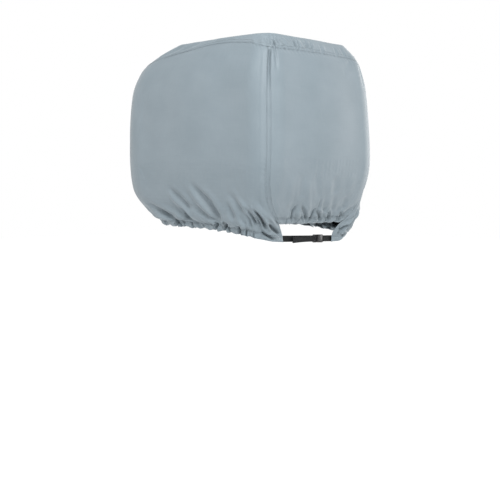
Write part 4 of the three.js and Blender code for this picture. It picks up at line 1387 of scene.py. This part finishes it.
def top_grid():
    """The top as rings: from the lapped seam up the shoulder to the rim, then inward."""
    columns, stations = [], []
    for panel, share in top_columns():
        seam = level(panel, "top", share)
        foot = outline(station_of(panel, share, seam), seam)
        head = outline(station_of(panel, share, RIM_DOWN), RIM_DOWN)
        length = np.linalg.norm(head - foot, axis=-1)
        near = np.minimum(np.array(NEAR_SEAM)[:, None] / length, 0.6)
        far = near[-1] + (1 - near[-1]) * np.linspace(0, 1, SHOULDER_RINGS)[1:, None]
        rise = np.concatenate([near, far])
        down = seam + (RIM_DOWN - seam) * rise
        shares = np.broadcast_to(share, down.shape)
        point, normal, _, _ = lay(panel, shares, down)
        station = station_of(panel, shares, down)
        away = np.array(NEAR_SEAM + (CLEAR_OF_SEAM,) * (SHOULDER_RINGS - 1))[:, None]
        lift = top_lift(panel, share, np.broadcast_to(away, down.shape))
        columns.append((point, normal, lift, corner_tip(station) * rise ** 2))
        stations.append(station[-1])
    point, normal, lift, tip = (np.concatenate(parts, axis=1) for parts in zip(*columns))
    station = np.concatenate(stations)
    rim = point[-1] * np.array([1, 1, 0])
    scales = np.linspace(1, INNER_RING, CROWN_RINGS + 1)[1:]
    crown = []
    for scale in scales:
        ring = rim * scale
        ring[:, 2] = -RIM_DOWN + CROWN * (1 - scale ** 2)
        crown.append(ring)
    crown = np.stack(crown)
    up = np.zeros_like(crown)
    up[..., 2] = 1
    grid = np.concatenate([point, crown])
    out = np.concatenate([normal, up])
    heights = np.concatenate([lift, np.zeros(crown.shape[:2])])
    heights += folded(grid, TOP_CREASES)
    grid[..., 2] += np.concatenate([tip, corner_tip(station) * scales[:, None] ** TIP_POWER])
    return round_rim(grid, len(point) - 1), out, heights


# The rim's bend is softened over this distance, and only past the lapped seam.
RIM_SOFT = 9
RIM_START = 13


def round_rim(grid, rim_row):
    """Softens the bend between shoulder and crown by averaging along each column."""
    run = run_of(grid)
    past_lap = run - RIM_START
    near_rim = 2.5 * RIM_SOFT - 0.6 * np.abs(run - run[rim_row])
    spread = np.clip(np.minimum(past_lap, near_rim), 0, RIM_SOFT)
    softened = np.zeros_like(grid)
    total = 0
    for share in np.linspace(-1, 1, 9):
        weight = bell(share * 0.9)
        total += weight
        for column, (at, where) in enumerate(zip(run.T, (run + share * spread).T)):
            for axis in range(3):
                softened[:, column, axis] += weight * np.interp(where, at, grid[:, column, axis])
    return softened / total


def sew_top():
    """The top: one closed sheet from its lapped seam to the middle, and its thread."""
    grid, out, heights = top_grid()
    normals = facing(grid_normals(grid, closed=True), out)
    place = grid + normals * (FACE + heights)[..., None]
    middle = np.array([0, 0, CROWN - RIM_DOWN + FACE])
    cut = place[..., :2] + place[..., 2:] * np.array([0.6, 0.6])
    piece, face = sew_sheet("top_cloth", place, cut, out, closed=True, middle=middle)
    lines = []
    for row in THREAD_ROWS:
        index = np.interp(row, NEAR_SEAM, np.arange(len(NEAR_SEAM)))
        line, away = between(face, index), normals[int(index)]
        lines.append((np.concatenate([line, line[:1]]), np.concatenate([away, away[:1]])))
    finish(piece, "top_panel", lines)


# Strap, in millimetres: webbing sewn inside each ear, wrapped round the buckle's bars.
WEBBING = 1.6
WEBBING_WIDTH = 20
STRAP_BAR_X = 36
TAIL_END_X = -77
TAIL_DROP = 4
TAIL_SLACK = 0.8
HIDDEN_END = 0.85
EAR_FACET = 0.03
SOLID_CLOTH = 2
END_GAP = 0.7
WEBBING_CLEARANCE = 0.4
BAR_HALF = 1.5
SOCKET_RIGHT = 38.5
WRAP_RADIUS = math.hypot(BAR_HALF, BAR_HALF) + WEBBING_CLEARANCE + WEBBING / 2


def strap_down(panel):
    """Depth of the strap's middle where it leaves an ear."""
    return STRAP_DOWN + (STRAP_FALL if panel == "starboard" else 0)


def ear_path(panel, layer):
    """The strap's hidden end inside an ear, from its inner end to the ear's edge."""
    offset = (SOLID_CLOTH + WEBBING) / 2 + END_GAP + layer * (WEBBING + WEBBING_CLEARANCE)
    down = float(strap_down(panel))
    ends = []
    for share in (0, EAR_FACET):
        point, normal, _, _ = lay(panel, np.array(share), np.array(down))
        if panel == "starboard" and share == 0:
            point = point - normal * fullness(panel, share, down)
        ends.append((point - normal * offset)[:2])
    mouth, deep = ends
    return [mouth + (deep - mouth) * HIDDEN_END, mouth]


def sloped(places):
    """Turns strap places about the port ear's edge, down toward the starboard ear."""
    port, starboard = ear_path("port", 0)[-1], ear_path("starboard", 0)[-1]
    tilt = math.atan2(STRAP_FALL, starboard[0] - port[0])
    x, y, z = places[..., 0] - port[0], places[..., 1], places[..., 2] + STRAP_DOWN
    return np.stack([
        port[0] + x * math.cos(tilt) + z * math.sin(tilt),
        y,
        z * math.cos(tilt) - x * math.sin(tilt) - STRAP_DOWN,
    ], axis=-1)


def wrap(centre_x, centre_y, facing):
    """Half a turn round a bar, from its inner side to its outer side."""
    turns = np.linspace(0.5, -0.5, 13) * math.pi
    return [
        (centre_x + facing * WRAP_RADIUS * math.cos(turn), centre_y + WRAP_RADIUS * math.sin(turn))
        for turn in turns
    ]


# The webbing's ribs, the step between its rings and the thickness left at a cut end.
RIB_PITCH = 3.1
RIB_HEIGHT = 0.16
WEBBING_STEP = 1.8
CUT_END = 0.75


def webbing_section():
    """The webbing's ribbed section, as places up its width and out from its middle."""
    half, thick = WEBBING_WIDTH / 2, WEBBING / 2
    flat = np.linspace(-half + thick, half - thick, 29)
    rib = RIB_HEIGHT * np.cos((flat + half) * 2 * math.pi / RIB_PITCH) - RIB_HEIGHT / 2
    turns = np.linspace(-0.5, 0.5, 7)[1:-1] * math.pi
    upper = [(z, thick + r) for z, r in zip(flat, rib)]
    right = [(half - thick + thick * math.cos(t), -thick * math.sin(t)) for t in turns]
    lower = [(z, -thick - r) for z, r in zip(flat[::-1], rib[::-1])]
    left = [(-half + thick - thick * math.cos(t), thick * math.sin(t)) for t in turns]
    return np.array(upper + right + lower + left)


def weave_webbing(name, path, drops):
    """A ribbed webbing ribbon on edge along a path in plan."""
    path = np.array(path, float)
    run = run_of(path)
    count = int(run[-1] / WEBBING_STEP)
    at = np.linspace(0, run[-1], count)
    line = np.stack([np.interp(at, run, axis) for axis in path.T], -1)
    for _ in range(3):
        line[1:-1] = line[1:-1] * 0.5 + (line[:-2] + line[2:]) * 0.25
    drop = np.interp(at, run, drops)
    along = unit(np.gradient(line, axis=0))
    out = np.stack([-along[:, 1], along[:, 0]], -1)
    profile = webbing_section()
    rounded = np.ones(count)
    rounded[0] = rounded[-1] = CUT_END
    height = profile[None, :, 0] * (1 - 0.02 * (1 - rounded[:, None])) - STRAP_DOWN - drop[:, None]
    side = out[:, None] * (profile[None, :, 1] * rounded[:, None])[..., None]
    rings = sloped(np.concatenate([line[:, None] + side, height[..., None]], axis=-1))
    faces = grid_faces(count, len(profile), closed=True).tolist()
    last = (count - 1) * len(profile)
    faces += [list(range(len(profile))), list(range(last, last + len(profile)))]
    piece = new_piece(name, rings.reshape(-1, 3), faces, (polypropylene_webbing,))
    wale = piece.data.attributes.new("cut", "FLOAT_VECTOR", "POINT")
    cut = np.stack(np.broadcast_arrays(at[:, None], profile[None, :, 0], 0.0), -1) * MM
    wale.data.foreach_set("vector", cut.ravel())
    tidy_normals(piece)
    return piece, run[-1]


def sew_strap():
    """The strap and the anchor of the buckle's socket, each one length of webbing."""
    mouth = ear_path("port", 0)
    bar_y = mouth[-1][1] - WRAP_RADIUS
    steps = np.linspace(0, 1, 25)[1:]
    tail = [
        (STRAP_BAR_X + (TAIL_END_X - STRAP_BAR_X) * t,
         bar_y - WRAP_RADIUS + TAIL_SLACK * bell(2 * t - 1))
        for t in steps
    ]
    path = mouth + wrap(STRAP_BAR_X, bar_y, 1) + tail
    drops = [0] * (len(path) - len(tail)) + [TAIL_DROP * t ** 2 for t in steps]
    strap, length = weave_webbing("strap", path, drops)
    finish_webbing(strap, "strap_webbing")
    socket_x = STRAP_BAR_X + SOCKET_RIGHT - BAR_HALF
    outer = ear_path("starboard", 0)
    path = ear_path("starboard", 1) + wrap(socket_x, bar_y, -1) + outer[::-1]
    anchor, length = weave_webbing("anchor_strap", path, [0] * len(path))
    finish_webbing(anchor, "anchor_webbing")


def finish_webbing(piece, node):
    """Hangs a length of webbing from the root and hides the solid that it stands for."""
    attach(piece, "root")
    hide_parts(node)


BUCKLE_BEVEL = 0.5
BUCKLE_CORNER = math.radians(35)


def mould_buckle(node, name):
    """A buckle half with the solid's shape and the soft edges of a moulded piece."""
    work = bmesh.new()
    work.from_mesh(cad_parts[node].data)
    bmesh.ops.remove_doubles(work, verts=work.verts, dist=1e-6)
    bmesh.ops.dissolve_limit(work, angle_limit=math.radians(1), verts=work.verts, edges=work.edges)
    mesh = bpy.data.meshes.new(name)
    work.to_mesh(mesh)
    work.free()
    piece = bpy.data.objects.new(name, mesh)
    bpy.context.collection.objects.link(piece)
    mesh.materials.clear()
    mesh.materials.append(moulded_acetal)
    bevel = piece.modifiers.new("soft_edges", "BEVEL")
    bevel.width = BUCKLE_BEVEL * MM
    bevel.segments = 2
    bevel.limit_method = "ANGLE"
    bevel.angle_limit = BUCKLE_CORNER
    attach(piece, "root")
    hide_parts(node)


def to_linear(code):
    """An sRGB hex colour as linear red, green, blue and full alpha."""
    parts = [int(code[n:n + 2], 16) / 255 for n in (1, 3, 5)]
    return [p / 12.92 if p <= 0.04045 else ((p + 0.055) / 1.055) ** 2.4 for p in parts] + [1]


def add_node(tree, kind, settings=None, links=None):
    """Adds a node with its settings and the sockets that feed it."""
    made = tree.nodes.new(kind)
    for name, value in (settings or {}).items():
        if isinstance(name, str) and hasattr(made, name):
            setattr(made, name, value)
        else:
            made.inputs[name].default_value = value
    for name, source in (links or {}).items():
        tree.links.new(source, made.inputs[name])
    return made


def new_material(name, roughness, **sockets):
    """A material with the numbers that are the same all over it set on its shader."""
    material = bpy.data.materials.new(name)
    material.use_nodes = True
    shader = material.node_tree.nodes["Principled BSDF"]
    shader.inputs["Roughness"].default_value = roughness
    for socket, value in sockets.items():
        shader.inputs[socket.replace("_", " ")].default_value = value
    return material, material.node_tree, shader


# A wave texture at scale 1 repeats every pi / 10 units.
WAVE = math.pi / 10


def weave_face():
    """Coated polyester oxford, woven and dyed: a matt cool grey with a faint thread grain.

    The real threads are half a millimetre apart; they are drawn three times coarser.
    """
    material, tree, shader = new_material(
        "polyester_oxford", 0.62, Sheen_Weight=0.12, Sheen_Roughness=0.45, IOR=1.46)
    cut = add_node(tree, "ShaderNodeAttribute", {"attribute_name": "cut"})
    where = cut.outputs["Vector"]
    warp = add_node(tree, "ShaderNodeTexWave", {"bands_direction": "X", "Scale": WAVE / (1.6 * MM)},
                    {"Vector": where})
    weft = add_node(tree, "ShaderNodeTexWave", {"bands_direction": "Y", "Scale": WAVE / (1.6 * MM)},
                    {"Vector": where})
    woven = add_node(tree, "ShaderNodeMath", {"operation": "MULTIPLY"},
                     {0: warp.outputs["Fac"], 1: weft.outputs["Fac"]})
    long = add_node(tree, "ShaderNodeMapping", {"Scale": (420, 26, 1)}, {"Vector": where})
    slub = add_node(tree, "ShaderNodeTexNoise", {"Scale": 1.0, "Detail": 2.0},
                    {"Vector": long.outputs["Vector"]})
    cross = add_node(tree, "ShaderNodeMapping", {"Scale": (26, 420, 1)}, {"Vector": where})
    pick = add_node(tree, "ShaderNodeTexNoise", {"Scale": 1.0, "Detail": 2.0},
                    {"Vector": cross.outputs["Vector"]})
    grain = add_node(tree, "ShaderNodeMath", {"operation": "ADD"},
                     {0: slub.outputs["Fac"], 1: pick.outputs["Fac"]})
    dye = add_node(tree, "ShaderNodeTexNoise", {"Scale": 1 / 0.09, "Detail": 3.0}, {"Vector": where})
    both = add_node(tree, "ShaderNodeMath", {"operation": "MULTIPLY_ADD", 1: 0.35},
                    {0: grain.outputs[0], 2: dye.outputs["Fac"]})
    tone = add_node(tree, "ShaderNodeMapRange", {"From Min": 0.5, "From Max": 1.2},
                    {"Value": both.outputs[0]})
    colour = add_node(tree, "ShaderNodeMix", {"data_type": "RGBA", 6: to_linear("#525d63"),
                                              7: to_linear("#5b656b")}, {0: tone.outputs[0]})
    height = add_node(tree, "ShaderNodeMath", {"operation": "MULTIPLY_ADD", 1: 0.5},
                      {0: woven.outputs[0], 2: grain.outputs[0]})
    bump = add_node(tree, "ShaderNodeBump", {"Strength": 0.3, "Distance": 0.25 * MM},
                    {"Height": height.outputs[0]})
    tree.links.new(colour.outputs[2], shader.inputs["Base Color"])
    tree.links.new(bump.outputs["Normal"], shader.inputs["Normal"])
    return material


def coat_back_painted_shade():
    """Polyurethane coat on the back: smooth and slightly shiny, with faint clouds; its near-black colour
    is painted shade for the cover's dark inside.
    """
    material, tree, shader = new_material("polyurethane_coat_painted_shade", 0.5, IOR=1.5)
    cut = add_node(tree, "ShaderNodeAttribute", {"attribute_name": "cut"})
    cloud = add_node(tree, "ShaderNodeTexNoise", {"Scale": 1 / 0.03, "Detail": 4.0},
                     {"Vector": cut.outputs["Vector"]})
    # Painted shade: the back is drawn near black so that the cover's inside looks shaded.
    colour = add_node(tree, "ShaderNodeMix", {"data_type": "RGBA", 6: to_linear("#1b1e20"),
                                              7: to_linear("#282b2f")}, {0: cloud.outputs["Fac"]})
    bump = add_node(tree, "ShaderNodeBump", {"Strength": 0.2, "Distance": 0.2 * MM},
                    {"Height": cloud.outputs["Fac"]})
    tree.links.new(colour.outputs[2], shader.inputs["Base Color"])
    tree.links.new(bump.outputs["Normal"], shader.inputs["Normal"])
    return material


def spin_thread():
    """Bonded polyester thread, twisted: a shade darker than the cloth, with a dull shine."""
    material, tree, shader = new_material("bonded_thread", 0.5, IOR=1.5)
    place = add_node(tree, "ShaderNodeTexCoord")
    ply = add_node(tree, "ShaderNodeTexNoise", {"Scale": 1 / (2 * MM), "Detail": 1.0},
                   {"Vector": place.outputs["Object"]})
    colour = add_node(tree, "ShaderNodeMix", {"data_type": "RGBA", 6: to_linear("#434b50"),
                                              7: to_linear("#4f575c")}, {0: ply.outputs["Fac"]})
    tree.links.new(colour.outputs[2], shader.inputs["Base Color"])
    return material


def weave_polypropylene():
    """Polypropylene webbing, woven on a narrow loom: near black, dull, with a herringbone."""
    material, tree, shader = new_material(
        "polypropylene_webbing", 0.6, Specular_IOR_Level=0.1, IOR=1.49)
    cut = add_node(tree, "ShaderNodeAttribute", {"attribute_name": "cut"})
    slant = add_node(tree, "ShaderNodeMapping", {"Rotation": (0, 0, math.radians(52))},
                     {"Vector": cut.outputs["Vector"]})
    pick = add_node(tree, "ShaderNodeTexWave", {"Scale": WAVE / (1.5 * MM), "Distortion": 0.6},
                    {"Vector": slant.outputs["Vector"]})
    fuzz = add_node(tree, "ShaderNodeTexNoise", {"Scale": 1 / (4 * MM), "Detail": 3.0},
                    {"Vector": cut.outputs["Vector"]})
    blend = add_node(tree, "ShaderNodeMath", {"operation": "MULTIPLY"},
                     {0: pick.outputs["Fac"], 1: fuzz.outputs["Fac"]})
    colour = add_node(tree, "ShaderNodeMix", {"data_type": "RGBA", 6: to_linear("#0b0c0d"),
                                              7: to_linear("#131617")}, {0: blend.outputs[0]})
    bump = add_node(tree, "ShaderNodeBump", {"Strength": 0.6, "Distance": 0.3 * MM},
                    {"Height": pick.outputs["Fac"]})
    tree.links.new(colour.outputs[2], shader.inputs["Base Color"])
    tree.links.new(bump.outputs["Normal"], shader.inputs["Normal"])
    return material


def mould_acetal():
    """Acetal, injection moulded: charcoal black, its satin skin rubbed paler in patches."""
    material, tree, shader = new_material("moulded_acetal", 0.38, Specular_IOR_Level=0.35, IOR=1.48)
    place = add_node(tree, "ShaderNodeTexCoord")
    grit = add_node(tree, "ShaderNodeTexNoise", {"Scale": 1 / (1.2 * MM), "Detail": 3.0},
                    {"Vector": place.outputs["Object"]})
    rub = add_node(tree, "ShaderNodeTexNoise", {"Scale": 1 / (9 * MM), "Detail": 2.0},
                   {"Vector": place.outputs["Object"]})
    colour = add_node(tree, "ShaderNodeMix", {"data_type": "RGBA", 6: to_linear("#0c0c0d"),
                                              7: to_linear("#171718")}, {0: rub.outputs["Fac"]})
    rough = add_node(tree, "ShaderNodeMapRange", {"To Min": 0.3, "To Max": 0.5},
                     {"Value": rub.outputs["Fac"]})
    bump = add_node(tree, "ShaderNodeBump", {"Strength": 0.15, "Distance": 0.1 * MM},
                    {"Height": grit.outputs["Fac"]})
    tree.links.new(colour.outputs[2], shader.inputs["Base Color"])
    tree.links.new(rough.outputs[0], shader.inputs["Roughness"])
    tree.links.new(bump.outputs["Normal"], shader.inputs["Normal"])
    return material


def paint_floor():
    """Painted board: matt white, with the faintest unevenness."""
    material, tree, shader = new_material("painted_board", 0.9)
    place = add_node(tree, "ShaderNodeTexCoord")
    cloud = add_node(tree, "ShaderNodeTexNoise", {"Scale": 1.5}, {"Vector": place.outputs["Object"]})
    colour = add_node(tree, "ShaderNodeMix", {"data_type": "RGBA", 6: to_linear("#f6f6f6"),
                                              7: to_linear("#fbfbfb")}, {0: cloud.outputs["Fac"]})
    tree.links.new(colour.outputs[2], shader.inputs["Base Color"])
    shader.inputs["Emission Color"].default_value = (1, 1, 1, 1)
    shader.inputs["Emission Strength"].default_value = 0.12
    return material


cloth_face = weave_face()
cloth_back_painted_shade = coat_back_painted_shade()
bonded_thread = spin_thread()
polypropylene_webbing = weave_polypropylene()
moulded_acetal = mould_acetal()

for side in ("port", "starboard", "aft"):
    sew_panel(side)
sew_top()
sew_strap()
mould_buckle("buckle_prongs", "buckle_prong_half")
mould_buckle("buckle_socket", "buckle_socket_half")

# Studio: a pale floor well below, an even white surround and soft lamps.
FLOOR_DOWN = 1750
FLOOR_HALF = 20000
Lamp = namedtuple("Lamp", "name place size power")
LAMPS = [
    Lamp("key", (-1.4, -1.4, 1.5), 1, 88),
    Lamp("front", (-1.75, -1.75, 0.5), 1.5, 22),
    Lamp("aft", (0, -2.6, -0.1), 1.5, 31),
    Lamp("side", (2.5, -0.6, -0.1), 1.5, 35),
    Lamp("fore", (-2.2, 1.2, 0.1), 1.5, 24),
    Lamp("fill", (2.2, 1.2, 0.4), 1.5, 24),
]
AIM = (0, 0, -0.32)


def set_studio():
    """Puts in the floor, the surround and the lamps."""
    corners = [(-1, -1), (1, -1), (1, 1), (-1, 1)]
    floor = new_piece("floor", [(x * FLOOR_HALF, y * FLOOR_HALF, -FLOOR_DOWN) for x, y in corners],
                      [[0, 1, 2, 3]], (paint_floor(),))
    world = bpy.data.worlds.new("studio")
    bpy.context.scene.world = world
    world.use_nodes = True
    world.node_tree.nodes["Background"].inputs["Color"].default_value = (1, 1, 1, 1)
    world.node_tree.nodes["Background"].inputs["Strength"].default_value = 1.0
    bpy.context.scene.view_settings.view_transform = "Standard"
    for row in LAMPS:
        lamp = bpy.data.lights.new(row.name, "AREA")
        lamp.energy = row.power
        lamp.size = row.size
        hung = bpy.data.objects.new(row.name, lamp)
        hung.location = row.place
        hung.rotation_mode = "QUATERNION"
        hung.rotation_quaternion = (Vector(AIM) - hung.location).to_track_quat("-Z", "Y")
        bpy.context.collection.objects.link(hung)


# The camera's turn from straight aft and its tilt, its distance and height in metres, and
# its lens in millimetres.
CAMERA_TURN = math.radians(46)
CAMERA_TILT = math.radians(3.49)
CAMERA_AWAY = 3.3
CAMERA_HEIGHT = -0.492
CAMERA_LENS = 69.7


def set_camera():
    """Sets the camera off the port aft corner, looking slightly down."""
    camera = bpy.data.objects.new("camera", bpy.data.cameras.new("camera"))
    bpy.context.collection.objects.link(camera)
    toward = Vector((math.sin(CAMERA_TURN), math.cos(CAMERA_TURN), 0))
    camera.location = toward * -CAMERA_AWAY + Vector((0, 0, CAMERA_HEIGHT))
    look = toward * math.cos(CAMERA_TILT) - Vector((0, 0, math.sin(CAMERA_TILT)))
    camera.rotation_mode = "QUATERNION"
    camera.rotation_quaternion = look.to_track_quat("-Z", "Y")
    camera.data.sensor_width = 36
    camera.data.lens = CAMERA_LENS
    bpy.context.scene.camera = camera


set_studio()
set_camera()
